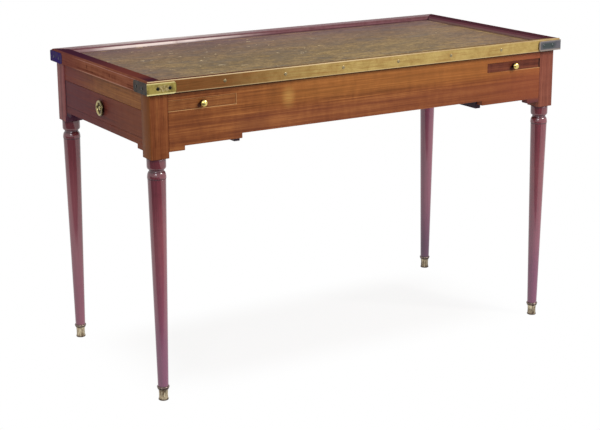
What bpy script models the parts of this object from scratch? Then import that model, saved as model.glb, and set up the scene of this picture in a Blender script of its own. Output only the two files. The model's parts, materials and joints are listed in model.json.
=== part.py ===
"""A tric-trac table: a case on four turned legs, with a lift-off leather top over a playing well.

Metres, +Z up. +X runs along the table and -Y is the front, where one of the players sits. The
origin is on the floor, under the middle of the table.
"""
import math

import bmesh
import bpy
from mathutils import Matrix, Vector

# Fits
GAP = 0.0003
OVERRUN = 0.001
MERGE = 0.00005

# Overall sizes
TABLE_HEIGHT = 0.748
CASE_LENGTH = 1.140
CASE_DEPTH = 0.530
TOP_THICKNESS = 0.030
TOP_OVERHANG = 0.009

# Case boards, and the heights of the frieze from the top downwards
POST = 0.044
BOARD = 0.020
FRIEZE_RAIL_HEIGHT = 0.019
SLIDE_OPENING_HEIGHT = 0.023
DRAWER_FRONT_HEIGHT = 0.0625
DRAWER_REVEAL = 0.0006
END_BOTTOM_RAIL_HEIGHT = 0.017
EAR_DROP = 0.010
POST_DROP = 0.014
KNEE_RISE = 0.0115
FRONT_EAR_LENGTH = 0.039
END_EAR_LENGTH = 0.030
END_RECESS = 0.002
TENON_LENGTH = 0.018
TENON_THICKNESS = 0.008
TENON_SHOULDER = 0.004
STUB_HEIGHT = 0.0035
STUB_CLEARANCE = 0.0006

# Playing well
END_BAY = 0.217
PARTITION = 0.015
PARTITION_DROP = 0.0105
KNEE_STEP_LAP = 0.004
FLOOR_LIP = 0.008
FLOOR_THICKNESS = 0.012
HOUSING_DEPTH = 0.006
CENTRE_BAR_WIDTH = 0.018
CENTRE_BAR_HEIGHT = 0.040
POINTS_PER_TABLE = 6
POINT_LENGTH = 0.195
POINT_MARGIN = 0.005
POINT_BASE_GAP = 0.004
POINT_RELIEF = 0.0005

# Candle slides, with the bearer they run on and the deck above them
SLIDE_CLEARANCE = 0.0006
SLIDE_SETBACK = 0.001
SLIDE_TO_PARTITION = 0.004
BEARER_THICKNESS = 0.006
STOP_HEIGHT = 0.012
STOP_WIDTH = 0.0474
SLIDE_KNOB_RADIUS = 0.0075
SLIDE_KNOB_PROUD = 0.0145
SLIDE_KNOB_STEM = 0.0020
SLIDE_KNOB_STEM_LENGTH = 0.010

# End drawers
DRAWER_FRONT = 0.018
DRAWER_SIDE = 0.009
DRAWER_BOTTOM = 0.005
DRAWER_SIDE_CLEARANCE = 0.0015
DRAWER_BACK_CLEARANCE = 0.008
DRAWER_SIDE_DROP = 0.008
DRAWER_BOTTOM_RAISE = 0.005
DRAWER_GROOVE = 0.004
TAILS = 3
TAIL_LENGTH = 0.011
TAIL_ROOT = 0.0075
TAIL_FLARE = 0.0017
RUNNER_THICKNESS = 0.012
RUNNER_LEDGE = 0.012
RUNNER_GUIDE_HEIGHT = 0.020
DRAWER_KNOB_RADIUS = 0.0190
DRAWER_KNOB_PROUD = 0.0085
DRAWER_KNOB_STEM = 0.0032
DRAWER_KNOB_STEM_LENGTH = 0.012

# Legs, from the post downwards, and their brass sabots
DRUM_RADIUS = 0.0217
DRUM_HEIGHT = 0.025
DRUM_ROUND = 0.0065
NECK_RADIUS = 0.0170
NECK_HEIGHT = 0.005
BELL_RADIUS = 0.0216
BELL_HEIGHT = 0.015
QUIRK_RADIUS = 0.0198
QUIRK_HEIGHT = 0.0016
SHAFT_TOP_RADIUS = 0.0208
SHAFT_FOOT_RADIUS = 0.0123
SHOULDER_LINE = 0.0006
SABOT_HEIGHT = 0.034
SABOT_RING_RADIUS = 0.0145
SABOT_RING_HEIGHT = 0.006
SABOT_WAIST_RADIUS = 0.0106
SABOT_FOOT_RADIUS = 0.0116
SABOT_FOOT_HEIGHT = 0.005
SPIGOT_RADIUS = 0.0080
SPIGOT_LENGTH = 0.022

# Lift-off top
SIDE_RIM = 0.036
FRONT_RIM = 0.014
RIM_RECESS = 0.0105
RIM_OUTER_ROUND = 0.0045
FRONT_RIM_ROUND = 0.0010
RIM_INNER_ROUND = 0.0022
LEATHER = 0.0012
PANEL = 0.0095
BAIZE = 0.0010
PANEL_TONGUE = 0.005
LINING_CLEARANCE = 0.0004
BRASS = 0.0020
STRIP_THICKNESS = 0.0015
BRACKET_LEAF = 0.070
BRACKET_HEIGHT = 0.026
BRACKET_CORNER = 0.006
BRACKET_SCREWS = (0.026, 0.055)
STRIP_SCREWS = 6
STRIP_SCREW_PITCH = 0.1560
SCREW_RADIUS = 0.0026
SCREW_LENGTH = 0.009

# Facets
TURNED_STEPS = 20
KNOB_STEPS = 14
SCREW_STEPS = 8
ARC_STEPS = 4

# Places worked out from the sizes above
CASE_TOP = TABLE_HEIGHT - TOP_THICKNESS
HALF_LENGTH = CASE_LENGTH / 2
HALF_DEPTH = CASE_DEPTH / 2
POST_IN_X = HALF_LENGTH - POST
POST_IN_Y = HALF_DEPTH - POST
BOARD_IN_Y = HALF_DEPTH - BOARD
END_FACE = HALF_LENGTH - END_RECESS
END_IN_X = END_FACE - BOARD
SLIDE_TOP = CASE_TOP - FRIEZE_RAIL_HEIGHT
SLIDE_BOTTOM = SLIDE_TOP - SLIDE_OPENING_HEIGHT
FRONT_TOP = SLIDE_BOTTOM - DRAWER_REVEAL
FRONT_BOTTOM = FRONT_TOP - DRAWER_FRONT_HEIGHT
RAIL_TOP = FRONT_BOTTOM - DRAWER_REVEAL
APRON_BOTTOM = RAIL_TOP - END_BOTTOM_RAIL_HEIGHT
EAR_BOTTOM = APRON_BOTTOM - EAR_DROP
POST_BOTTOM = EAR_BOTTOM - POST_DROP
KNEE_BOTTOM = APRON_BOTTOM + KNEE_RISE
PARTITION_OUT = HALF_LENGTH - END_BAY
PARTITION_IN = PARTITION_OUT - PARTITION
KNEE_STEP = PARTITION_IN + KNEE_STEP_LAP
SLIDE_IN = PARTITION_OUT + SLIDE_TO_PARTITION
FLOOR_BOTTOM = KNEE_BOTTOM + FLOOR_LIP
FLOOR_TOP = FLOOR_BOTTOM + FLOOR_THICKNESS
TOP_X = HALF_LENGTH + TOP_OVERHANG
TOP_Y = HALF_DEPTH + TOP_OVERHANG
TOP_BOTTOM = CASE_TOP + GAP
BRACKET_TOP = TOP_BOTTOM + BRACKET_HEIGHT
LEATHER_TOP = TABLE_HEIGHT - RIM_RECESS
PANEL_TOP = LEATHER_TOP - LEATHER - GAP
PANEL_BOTTOM = PANEL_TOP - PANEL
BAIZE_TOP = PANEL_BOTTOM - GAP
RECESS_X = TOP_X - SIDE_RIM
RECESS_FRONT = -TOP_Y + FRONT_RIM
RECESS_BACK = TOP_Y - SIDE_RIM

SIDES = {"left": -1, "right": 1}
FACES = {"front": -1, "back": 1}


def linear(channel):
    """One sRGB channel, 0 to 255, as the linear value that a shader takes."""
    value = channel / 255
    if value <= 0.04045:
        return value / 12.92
    return ((value + 0.055) / 1.055) ** 2.4


def finish(name, red, green, blue, roughness, metallic=0.0):
    """A plain material of one colour."""
    material = bpy.data.materials.new(name)
    material.use_nodes = True
    shader = material.node_tree.nodes["Principled BSDF"]
    shader.inputs["Base Color"].default_value = (linear(red), linear(green), linear(blue), 1.0)
    shader.inputs["Roughness"].default_value = roughness
    shader.inputs["Metallic"].default_value = metallic
    return material


def new_collection(name):
    collection = bpy.data.collections.new(name)
    bpy.context.scene.collection.children.link(collection)
    return collection


for old in list(bpy.data.objects):
    bpy.data.objects.remove(old, do_unlink=True)

PARTS = new_collection("tric_trac_table")
TOOLS = new_collection("cutters")
MAHOGANY = finish("mahogany", 150, 88, 46, 0.35)
MAHOGANY_LEG = finish("mahogany_leg", 122, 58, 52, 0.28)
MAHOGANY_DARK = finish("mahogany_dark", 96, 56, 50, 0.35)
OAK = finish("oak", 168, 132, 86, 0.6)
OLD_BRASS = finish("brass", 185, 160, 90, 0.35, 1.0)
DARK_BRASS = finish("brass_dark", 84, 82, 88, 0.45, 1.0)
HIDE = finish("leather", 125, 105, 75, 0.55)
CLOTH = finish("baize", 52, 84, 58, 0.9)


def place(name, mesh, material):
    """Put a mesh in the scene: a part where it has a material, and otherwise a cutter."""
    obj = bpy.data.objects.new(name, mesh)
    if material is None:
        TOOLS.objects.link(obj)
        obj.hide_render = True
        obj.display_type = "WIRE"
    else:
        PARTS.objects.link(obj)
        mesh.materials.clear()
        mesh.materials.append(material)
    return obj


def box(name, low, high, material=None):
    """A block between two corners, with its origin at its middle."""
    low, high = Vector(low), Vector(high)
    mesh = bpy.data.meshes.new(name)
    bm = bmesh.new()
    bmesh.ops.create_cube(bm, size=1.0, matrix=Matrix.Diagonal((*(high - low), 1.0)))
    bm.to_mesh(mesh)
    bm.free()
    obj = place(name, mesh, material)
    obj.location = (low + high) / 2
    return obj


def baked(source, name, material):
    """The evaluated mesh of a curve or of a profile with modifiers, as an object of its own."""
    bpy.context.view_layer.update()
    evaluated = source.evaluated_get(bpy.context.evaluated_depsgraph_get())
    mesh = bpy.data.meshes.new_from_object(evaluated)
    mesh.name = name
    bm = bmesh.new()
    bm.from_mesh(mesh)
    bmesh.ops.remove_doubles(bm, verts=bm.verts, dist=MERGE)
    bm.to_mesh(mesh)
    bm.free()
    obj = place(name, mesh, material)
    obj.matrix_world = source.matrix_world.copy()
    bpy.data.objects.remove(source, do_unlink=True)
    return obj


# How an outline's own X, Y and thickness lie in the table, as Euler angles
FLAT = (0.0, 0.0, 0.0)
UPRIGHT_ALONG = (math.pi / 2, 0.0, 0.0)
UPRIGHT_ACROSS = (math.pi / 2, 0.0, math.pi / 2)


def outline(name, shapes, thickness, middle, turn, material=None):
    """One or more flat outlines of one thickness, standing as turn says."""
    curve = bpy.data.curves.new(name, "CURVE")
    curve.dimensions = "2D"
    curve.fill_mode = "BOTH"
    curve.extrude = thickness / 2
    for shape in shapes:
        spline = curve.splines.new("POLY")
        spline.points.add(len(shape) - 1)
        for point, (across, up) in zip(spline.points, shape):
            point.co = (across, up, 0.0, 1.0)
        spline.use_cyclic_u = True
    source = bpy.data.objects.new(name + "_outline", curve)
    TOOLS.objects.link(source)
    source.rotation_euler = turn
    source.location = middle
    return baked(source, name, material)


def turned(name, profile, steps, material=None, location=(0.0, 0.0, 0.0), turn=FLAT):
    """A turned piece. The profile runs from its top down its outer side."""
    mesh = bpy.data.meshes.new(name + "_profile")
    points = [(radius, 0.0, height) for radius, height in profile]
    mesh.from_pydata(points, [(i, i + 1) for i in range(len(points) - 1)], [])
    source = bpy.data.objects.new(name + "_profile", mesh)
    TOOLS.objects.link(source)
    screw = source.modifiers.new("turning", "SCREW")
    screw.axis = "Z"
    screw.steps = steps
    screw.render_steps = steps
    screw.use_merge_vertices = True
    screw.merge_threshold = MERGE
    source.location = location
    source.rotation_euler = turn
    obj = baked(source, name, material)
    obj.data.shade_smooth()
    obj.data.set_sharp_from_angle(angle=math.radians(35))
    return obj


def arc(centre, radius_x, radius_y, start, end, steps=ARC_STEPS):
    """Points along an elliptic arc, from a start angle to an end angle in degrees."""
    points = []
    for i in range(steps + 1):
        angle = math.radians(start + (end - start) * i / steps)
        points.append((centre[0] + radius_x * math.cos(angle), centre[1] + radius_y * math.sin(angle)))
    return points


def combine(target, tool, operation):
    modifier = target.modifiers.new(operation.lower(), "BOOLEAN")
    modifier.operation = operation
    modifier.solver = "EXACT"
    modifier.object = tool


def carve(target, tool):
    combine(target, tool, "DIFFERENCE")


def fuse(target, tool):
    combine(target, tool, "UNION")


def grown(low, high, margin):
    """A block's corners, moved outwards by a margin."""
    return Vector(low) - Vector((margin,) * 3), Vector(high) + Vector((margin,) * 3)


def ordered(low, high):
    """Two corners of a block as its lowest and highest corner."""
    pairs = [sorted(pair) for pair in zip(low, high)]
    return [pair[0] for pair in pairs], [pair[1] for pair in pairs]


def mirrored(half):
    """A closed outline from the points of its right half, given from the bottom to the top."""
    return half + [(-across, up) for across, up in reversed(half) if across > MERGE]


def joint_origin(name, location):
    """An empty that carries the pieces of one moving body."""
    empty = bpy.data.objects.new(name, None)
    PARTS.objects.link(empty)
    empty.location = location
    return empty


def hang(pieces, carrier):
    """Parent pieces to an empty without moving them."""
    for piece in pieces:
        piece.parent = carrier
        piece.matrix_parent_inverse = Matrix.Translation(-Vector(carrier.location))


# Tenons, each as the corners of a block. The posts' mortises are cut from the same blocks.
def apron_tenons(side, face):
    """The two tenons that join the front or back apron to one post."""
    middle = HALF_DEPTH - BOARD / 2
    tenons = []
    for bottom, top in ((EAR_BOTTOM, SLIDE_BOTTOM), (SLIDE_TOP, CASE_TOP)):
        low = (side * (POST_IN_X - OVERRUN), face * (middle - TENON_THICKNESS / 2), bottom + TENON_SHOULDER)
        high = (side * (POST_IN_X + TENON_LENGTH), face * (middle + TENON_THICKNESS / 2), top - TENON_SHOULDER)
        tenons.append(ordered(low, high))
    return tenons


def end_rail_tenon(side, face, bottom, top):
    """The tenon that joins one end rail to one post."""
    middle = END_FACE - BOARD / 2
    low = (side * (middle - TENON_THICKNESS / 2), face * (POST_IN_Y - OVERRUN), bottom + TENON_SHOULDER)
    high = (side * (middle + TENON_THICKNESS / 2), face * (POST_IN_Y + TENON_LENGTH), top - TENON_SHOULDER)
    return ordered(low, high)


def leg_profile():
    """The turning below the post: drum, neck, bell, quirk, tapered shaft and spigot."""
    drum_foot = POST_BOTTOM - DRUM_HEIGHT
    neck_foot = drum_foot - NECK_HEIGHT
    bell_foot = neck_foot - BELL_HEIGHT
    quirk_foot = bell_foot - QUIRK_HEIGHT
    shoulder = POST_BOTTOM - SHOULDER_LINE
    inset = DRUM_RADIUS - SHOULDER_LINE * 4
    profile = [(0.0, POST_BOTTOM + OVERRUN), (inset, POST_BOTTOM + OVERRUN), (inset, shoulder)]
    profile += [(DRUM_RADIUS, shoulder)]
    profile += arc((NECK_RADIUS, drum_foot + DRUM_ROUND), DRUM_RADIUS - NECK_RADIUS, DRUM_ROUND, 0, -90)
    profile += [(NECK_RADIUS, neck_foot)]
    profile += arc((NECK_RADIUS, bell_foot), BELL_RADIUS - NECK_RADIUS, BELL_HEIGHT, 80, 0)
    profile += [(QUIRK_RADIUS, bell_foot - OVERRUN / 2), (QUIRK_RADIUS, quirk_foot)]
    profile += [(SHAFT_TOP_RADIUS, quirk_foot), (SHAFT_FOOT_RADIUS, SABOT_HEIGHT + GAP)]
    profile += [(SPIGOT_RADIUS, SABOT_HEIGHT + GAP), (SPIGOT_RADIUS, SABOT_HEIGHT - SPIGOT_LENGTH)]
    profile += [(0.0, SABOT_HEIGHT - SPIGOT_LENGTH)]
    return profile


def leg(side_name, face_name):
    """A square post with its turned leg below, mortised for the rails, and stubbed to locate the top."""
    side, face = SIDES[side_name], FACES[face_name]
    name = "leg_" + face_name + "_" + side_name
    corner = (side * HALF_LENGTH, face * HALF_DEPTH, CASE_TOP)
    inner = (side * POST_IN_X, face * POST_IN_Y, POST_BOTTOM)
    post = box(name, *ordered(corner, inner), MAHOGANY_LEG)
    axis = (side * (HALF_LENGTH - POST / 2), face * (HALF_DEPTH - POST / 2), 0.0)
    fuse(post, turned(name + "_turning", leg_profile(), TURNED_STEPS, location=axis))
    recess_y = -RECESS_FRONT if face < 0 else RECESS_BACK
    stub_low = (side * (POST_IN_X + OVERRUN), face * (POST_IN_Y + OVERRUN), CASE_TOP - OVERRUN)
    stub_high = (side * (RECESS_X - STUB_CLEARANCE), face * (recess_y - STUB_CLEARANCE), CASE_TOP + STUB_HEIGHT)
    fuse(post, box(name + "_stub", *ordered(stub_low, stub_high)))
    blocks = apron_tenons(side, face)
    blocks.append(end_rail_tenon(side, face, SLIDE_BOTTOM, CASE_TOP))
    blocks.append(end_rail_tenon(side, face, EAR_BOTTOM, RAIL_TOP))
    for number, block in enumerate(blocks):
        carve(post, box(name + "_mortise_" + str(number), *grown(*block, GAP)))
    return post


def sabot(side_name, face_name):
    """A brass cup under the leg: ring, waisted body and foot, with a socket for the leg's spigot."""
    side, face = SIDES[side_name], FACES[face_name]
    socket = SPIGOT_RADIUS + GAP
    socket_foot = SABOT_HEIGHT - SPIGOT_LENGTH - GAP
    ring_foot = SABOT_HEIGHT - SABOT_RING_HEIGHT
    waist_height = ring_foot - SABOT_FOOT_HEIGHT
    ring_middle = SABOT_HEIGHT - SABOT_RING_HEIGHT / 2
    profile = [(0.0, socket_foot), (socket, socket_foot), (socket, SABOT_HEIGHT)]
    profile += [(SHAFT_FOOT_RADIUS, SABOT_HEIGHT)]
    profile += arc((SHAFT_FOOT_RADIUS, ring_middle), SABOT_RING_RADIUS - SHAFT_FOOT_RADIUS,
                   SABOT_RING_HEIGHT / 2, 70, -90)
    profile += arc((SABOT_FOOT_RADIUS, SABOT_FOOT_HEIGHT + waist_height / 2),
                   SABOT_FOOT_RADIUS - SABOT_WAIST_RADIUS, waist_height / 2, 100, 260)
    profile += [(SABOT_FOOT_RADIUS, SABOT_FOOT_HEIGHT * 0.9), (SABOT_FOOT_RADIUS, 0.0), (0.0, 0.0)]
    axis = (side * (HALF_LENGTH - POST / 2), face * (HALF_DEPTH - POST / 2), 0.0)
    return turned("sabot_" + face_name + "_" + side_name, profile, TURNED_STEPS, OLD_BRASS, axis)


def apron(face_name):
    """The long frieze board: ears at the posts, a raised knee, and an end notch for each slide."""
    face = FACES[face_name]
    end = POST_IN_X - GAP
    ear = POST_IN_X - FRONT_EAR_LENGTH
    half = [(KNEE_STEP, KNEE_BOTTOM), (KNEE_STEP, APRON_BOTTOM), (ear, APRON_BOTTOM), (ear, EAR_BOTTOM),
            (end, EAR_BOTTOM), (end, CASE_TOP)]
    middle = (0.0, face * (HALF_DEPTH - BOARD / 2), 0.0)
    board = outline(face_name + "_apron", [mirrored(half)], BOARD, middle, UPRIGHT_ALONG, MAHOGANY)
    for side_name, side in SIDES.items():
        low = (side * SLIDE_IN, face * (BOARD_IN_Y - OVERRUN), SLIDE_BOTTOM)
        high = (side * (POST_IN_X + OVERRUN), face * (HALF_DEPTH + OVERRUN), SLIDE_TOP)
        carve(board, box(board.name + "_slide_notch_" + side_name, *ordered(low, high)))
        for number, block in enumerate(apron_tenons(side, face)):
            fuse(board, box(board.name + "_tenon_" + side_name + str(number), *block))
    low = (-PARTITION_IN - HOUSING_DEPTH - GAP, face * (BOARD_IN_Y - OVERRUN), FLOOR_BOTTOM - GAP)
    high = (PARTITION_IN + HOUSING_DEPTH + GAP, face * (BOARD_IN_Y + HOUSING_DEPTH + GAP), FLOOR_TOP + GAP)
    carve(board, box(board.name + "_floor_groove", *ordered(low, high)))
    return board


def end_top_rail(side_name):
    """The rail above an end drawer."""
    side = SIDES[side_name]
    low = (side * END_IN_X, -POST_IN_Y + GAP, SLIDE_BOTTOM)
    high = (side * END_FACE, POST_IN_Y - GAP, CASE_TOP)
    rail = box("end_top_rail_" + side_name, *ordered(low, high), MAHOGANY)
    for face in FACES.values():
        block = end_rail_tenon(side, face, SLIDE_BOTTOM, CASE_TOP)
        fuse(rail, box(rail.name + "_tenon", *block))
    return rail


def end_bottom_rail(side_name):
    """The rail under an end drawer, with an ear at each post."""
    side = SIDES[side_name]
    end = POST_IN_Y - GAP
    ear = POST_IN_Y - END_EAR_LENGTH
    half = [(ear, APRON_BOTTOM), (ear, EAR_BOTTOM), (end, EAR_BOTTOM), (end, RAIL_TOP)]
    middle = (side * (END_FACE - BOARD / 2), 0.0, 0.0)
    rail = outline("end_bottom_rail_" + side_name, [mirrored(half)], BOARD, middle, UPRIGHT_ACROSS, MAHOGANY_DARK)
    for face in FACES.values():
        block = end_rail_tenon(side, face, EAR_BOTTOM, RAIL_TOP)
        fuse(rail, box(rail.name + "_tenon", *block))
    return rail


def partition(side_name):
    """The board between the playing well and an end bay, housed for the well's floor."""
    side = SIDES[side_name]
    low = (side * PARTITION_IN, -BOARD_IN_Y + GAP, APRON_BOTTOM - PARTITION_DROP)
    high = (side * PARTITION_OUT, BOARD_IN_Y - GAP, CASE_TOP - GAP)
    board = box("partition_" + side_name, *ordered(low, high), MAHOGANY_DARK)
    low = (side * (PARTITION_IN - OVERRUN), -HALF_DEPTH, FLOOR_BOTTOM - GAP)
    high = (side * (PARTITION_IN + HOUSING_DEPTH + GAP), HALF_DEPTH, FLOOR_TOP + GAP)
    carve(board, box(board.name + "_floor_groove", *ordered(low, high)))
    return board


def point_outlines():
    """The long triangles of both halves of the board, six along each side of each half."""
    table = PARTITION_IN - CENTRE_BAR_WIDTH / 2
    pitch = table / POINTS_PER_TABLE
    half_base = (pitch - POINT_BASE_GAP) / 2
    foot = BOARD_IN_Y - POINT_MARGIN
    tip = foot - POINT_LENGTH
    shapes = []
    for side in SIDES.values():
        for number in range(POINTS_PER_TABLE):
            middle = side * (CENTRE_BAR_WIDTH / 2 + pitch * (number + 0.5))
            for face in FACES.values():
                shapes.append([(middle - half_base, face * foot), (middle + half_base, face * foot),
                               (middle, face * tip)])
    return shapes


def well_floor():
    """The floor of the well, with the points of the game standing a little proud of it."""
    reach_x = PARTITION_IN + HOUSING_DEPTH
    reach_y = BOARD_IN_Y + HOUSING_DEPTH
    floor = box("well_floor", (-reach_x, -reach_y, FLOOR_BOTTOM), (reach_x, reach_y, FLOOR_TOP), MAHOGANY)
    thickness = POINT_RELIEF + OVERRUN
    middle = (0.0, 0.0, FLOOR_TOP + POINT_RELIEF - thickness / 2)
    fuse(floor, outline("well_floor_points", point_outlines(), thickness, middle, FLAT))
    return floor


def centre_bar():
    """The bar that parts the two halves of the board."""
    low = (-CENTRE_BAR_WIDTH / 2, -BOARD_IN_Y + GAP, FLOOR_TOP + GAP)
    high = (CENTRE_BAR_WIDTH / 2, BOARD_IN_Y - GAP, FLOOR_TOP + CENTRE_BAR_HEIGHT)
    return box("centre_bar", low, high, MAHOGANY_DARK)


def end_deck(side_name):
    """The board that closes an end bay above the slides, notched round the two posts."""
    side = SIDES[side_name]
    inside, outside = PARTITION_OUT + GAP, END_IN_X - GAP
    notch, edge = POST_IN_X - GAP, BOARD_IN_Y - GAP
    between = POST_IN_Y - GAP
    half = [(inside, edge), (notch, edge), (notch, between), (outside, between)]
    shape = half + [(along, -across) for along, across in reversed(half)]
    shape = [(side * along, across) for along, across in shape]
    bottom, top = SLIDE_TOP + GAP, CASE_TOP - GAP
    return outline("end_deck_" + side_name, [shape], top - bottom, (0, 0, (top + bottom) / 2), FLAT, MAHOGANY)


def slide_bearer(side_name):
    """The thin board that the two candle slides of an end bay run on."""
    side = SIDES[side_name]
    low = (side * (PARTITION_OUT + GAP), -BOARD_IN_Y + GAP, SLIDE_BOTTOM - BEARER_THICKNESS)
    high = (side * (POST_IN_X - GAP), BOARD_IN_Y - GAP, SLIDE_BOTTOM)
    return box("slide_bearer_" + side_name, *ordered(low, high), OAK)


def slide_back_end():
    """How far from the table's middle a closed slide ends."""
    return STOP_WIDTH / 2 + GAP


def slide_stop(side_name):
    """A batten on the bearer that stops the slides when they are pushed home."""
    side = SIDES[side_name]
    reach = STOP_WIDTH / 2
    bottom = SLIDE_BOTTOM + GAP
    low = (side * (SLIDE_IN + GAP), -reach, bottom)
    high = (side * (POST_IN_X - GAP), reach, bottom + STOP_HEIGHT)
    return box("slide_stop_" + side_name, *ordered(low, high), OAK)


def slide_knob_profile():
    """A small turned knob: round head, thin neck, base and stem."""
    head = 0.0045
    neck = 0.0032
    base = 0.0050
    widest = SLIDE_KNOB_PROUD - head
    profile = arc((0.0, widest), SLIDE_KNOB_RADIUS, head, 90, 0)
    profile += arc((neck, widest), SLIDE_KNOB_RADIUS - neck, head * 0.8, -30, -90, 3)
    profile += [(neck, 0.0022), (base, 0.0014), (base, GAP), (SLIDE_KNOB_STEM, GAP)]
    profile += [(SLIDE_KNOB_STEM, -SLIDE_KNOB_STEM_LENGTH), (0.0, -SLIDE_KNOB_STEM_LENGTH)]
    return profile


def stem_hole(name, radius, length, location, turn):
    """A cutter for a knob's stem."""
    size = radius + GAP
    profile = [(0.0, OVERRUN), (size, OVERRUN), (size, -length - GAP), (0.0, -length - GAP)]
    return turned(name, profile, KNOB_STEPS, None, location, turn)


def candle_slide(side_name, face_name):
    """A pull-out slide for a candlestick, with its knob."""
    side, face = SIDES[side_name], FACES[face_name]
    where = face_name + "_" + side_name
    front = face * (HALF_DEPTH - SLIDE_SETBACK)
    low = (side * (SLIDE_IN + SLIDE_CLEARANCE), front, SLIDE_BOTTOM + SLIDE_CLEARANCE)
    high = (side * (POST_IN_X - SLIDE_CLEARANCE), face * slide_back_end(), SLIDE_TOP - SLIDE_CLEARANCE)
    board = box("candle_slide_" + where, *ordered(low, high), MAHOGANY)
    seat = (side * (SLIDE_IN + POST_IN_X) / 2, front, (SLIDE_BOTTOM + SLIDE_TOP) / 2)
    turn = (-face * math.pi / 2, 0.0, 0.0)
    carve(board, stem_hole(board.name + "_hole", SLIDE_KNOB_STEM, SLIDE_KNOB_STEM_LENGTH, seat, turn))
    knob = turned("slide_knob_" + where, slide_knob_profile(), KNOB_STEPS, OLD_BRASS, seat, turn)
    hang([board, knob], joint_origin("slide_axis_" + where, seat))
    return board


def drawer_span():
    """The heights of a drawer's sides, and how far their outer faces are from the middle."""
    return RAIL_TOP + GAP, FRONT_TOP - DRAWER_SIDE_DROP, POST_IN_Y - DRAWER_SIDE_CLEARANCE


def tails(name, side, face, margin):
    """The dovetails on one end of a drawer side, or with a margin the sockets for them."""
    bottom, top, outer = drawer_span()
    root = END_FACE - DRAWER_FRONT - OVERRUN
    tip = root + OVERRUN + TAIL_LENGTH + margin
    pitch = (top - bottom) / TAILS
    shapes = []
    for number in range(TAILS):
        middle = bottom + pitch * (number + 0.5)
        narrow, wide = TAIL_ROOT / 2 + margin, TAIL_ROOT / 2 + TAIL_FLARE + margin
        shapes.append([(side * root, middle - narrow), (side * tip, middle - wide),
                       (side * tip, middle + wide), (side * root, middle + narrow)])
    inner = outer - DRAWER_SIDE - margin
    out = outer + (DRAWER_SIDE_CLEARANCE if margin > 0.0 else 0.0)
    return outline(name, shapes, out - inner, (0.0, face * (out + inner) / 2, 0.0), UPRIGHT_ALONG)


def drawer_knob_profile():
    """A dished brass disc on a short neck: boss, hollow, raised rim, neck, base and stem."""
    rim = 0.0030
    boss = 0.0060
    hollow = 0.0016
    neck = 0.0065
    base = 0.0095
    crest = DRAWER_KNOB_RADIUS - rim
    face_level = DRAWER_KNOB_PROUD - rim
    profile = arc((0.0, face_level - hollow), boss, rim + hollow * 0.6, 90, 10)
    profile += [(boss + hollow, face_level - hollow), (crest - rim - hollow, face_level - hollow / 2)]
    profile += arc((crest, face_level), rim, rim, 170, -60, 7)
    profile += [(neck, face_level - rim), (neck, 0.0018), (base, 0.0012), (base, GAP)]
    profile += [(DRAWER_KNOB_STEM, GAP), (DRAWER_KNOB_STEM, -DRAWER_KNOB_STEM_LENGTH)]
    profile += [(0.0, -DRAWER_KNOB_STEM_LENGTH)]
    return profile


def end_drawer(side_name):
    """A drawer in the end of the table: front, two dovetailed sides, back, bottom and knob."""
    side = SIDES[side_name]
    name = "drawer_" + side_name
    bottom, top, outer = drawer_span()
    front_back = END_FACE - DRAWER_FRONT
    back_end = PARTITION_OUT + DRAWER_BACK_CLEARANCE
    board_low = bottom + DRAWER_BOTTOM_RAISE
    board_high = board_low + DRAWER_BOTTOM
    inner = outer - DRAWER_SIDE
    edge = POST_IN_Y - DRAWER_REVEAL
    tongue = inner + DRAWER_GROOVE
    low = (side * front_back, -edge, FRONT_BOTTOM)
    front = box(name + "_front", *ordered(low, (side * END_FACE, edge, FRONT_TOP)), MAHOGANY_DARK)
    groove_low = (side * (back_end - OVERRUN), -tongue - GAP, board_low - GAP)
    groove_high = (side * (front_back + DRAWER_GROOVE + GAP), tongue + GAP, board_high + GAP)
    groove = box(name + "_bottom_groove", *ordered(groove_low, groove_high))
    carve(front, groove)
    pieces = [front]
    for face_name, face in FACES.items():
        low = (side * back_end, face * inner, bottom)
        high = (side * (front_back - GAP), face * outer, top)
        wall = box(name + "_side_" + face_name, *ordered(low, high), OAK)
        fuse(wall, tails(wall.name + "_tails", side, face, 0.0))
        carve(wall, groove)
        carve(front, tails(wall.name + "_sockets", side, face, GAP))
        pieces.append(wall)
    low = (side * back_end, -inner + GAP, board_high + GAP)
    high = (side * (back_end + DRAWER_SIDE), inner - GAP, top)
    pieces.append(box(name + "_back", *ordered(low, high), OAK))
    low = (side * back_end, -tongue, board_low)
    high = (side * (front_back + DRAWER_GROOVE), tongue, board_high)
    pieces.append(box(name + "_bottom", *ordered(low, high), OAK))
    seat = (side * END_FACE, 0.0, (FRONT_BOTTOM + FRONT_TOP) / 2)
    turn = (0.0, side * math.pi / 2, 0.0)
    carve(front, stem_hole(name + "_hole", DRAWER_KNOB_STEM, DRAWER_KNOB_STEM_LENGTH, seat, turn))
    pieces.append(turned(name + "_knob", drawer_knob_profile(), KNOB_STEPS, OLD_BRASS, seat, turn))
    hang(pieces, joint_origin(name + "_axis", seat))
    return pieces


def drawer_runner(side_name, face_name):
    """A strip on the apron that carries one side of an end drawer and guides it."""
    side, face = SIDES[side_name], FACES[face_name]
    wall = BOARD_IN_Y - GAP
    ledge = POST_IN_Y - DRAWER_SIDE_CLEARANCE - RUNNER_LEDGE
    foot = RAIL_TOP - RUNNER_THICKNESS
    top = RAIL_TOP + RUNNER_GUIDE_HEIGHT
    section = [(ledge, foot), (wall, foot), (wall, top), (POST_IN_Y, top), (POST_IN_Y, RAIL_TOP), (ledge, RAIL_TOP)]
    shape = [(face * across, up) for across, up in section]
    start, end = PARTITION_OUT + GAP, POST_IN_X - GAP
    middle = (side * (start + end) / 2, 0.0, 0.0)
    name = "drawer_runner_" + face_name + "_" + side_name
    return outline(name, [shape], end - start, middle, UPRIGHT_ACROSS, OAK)


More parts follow.
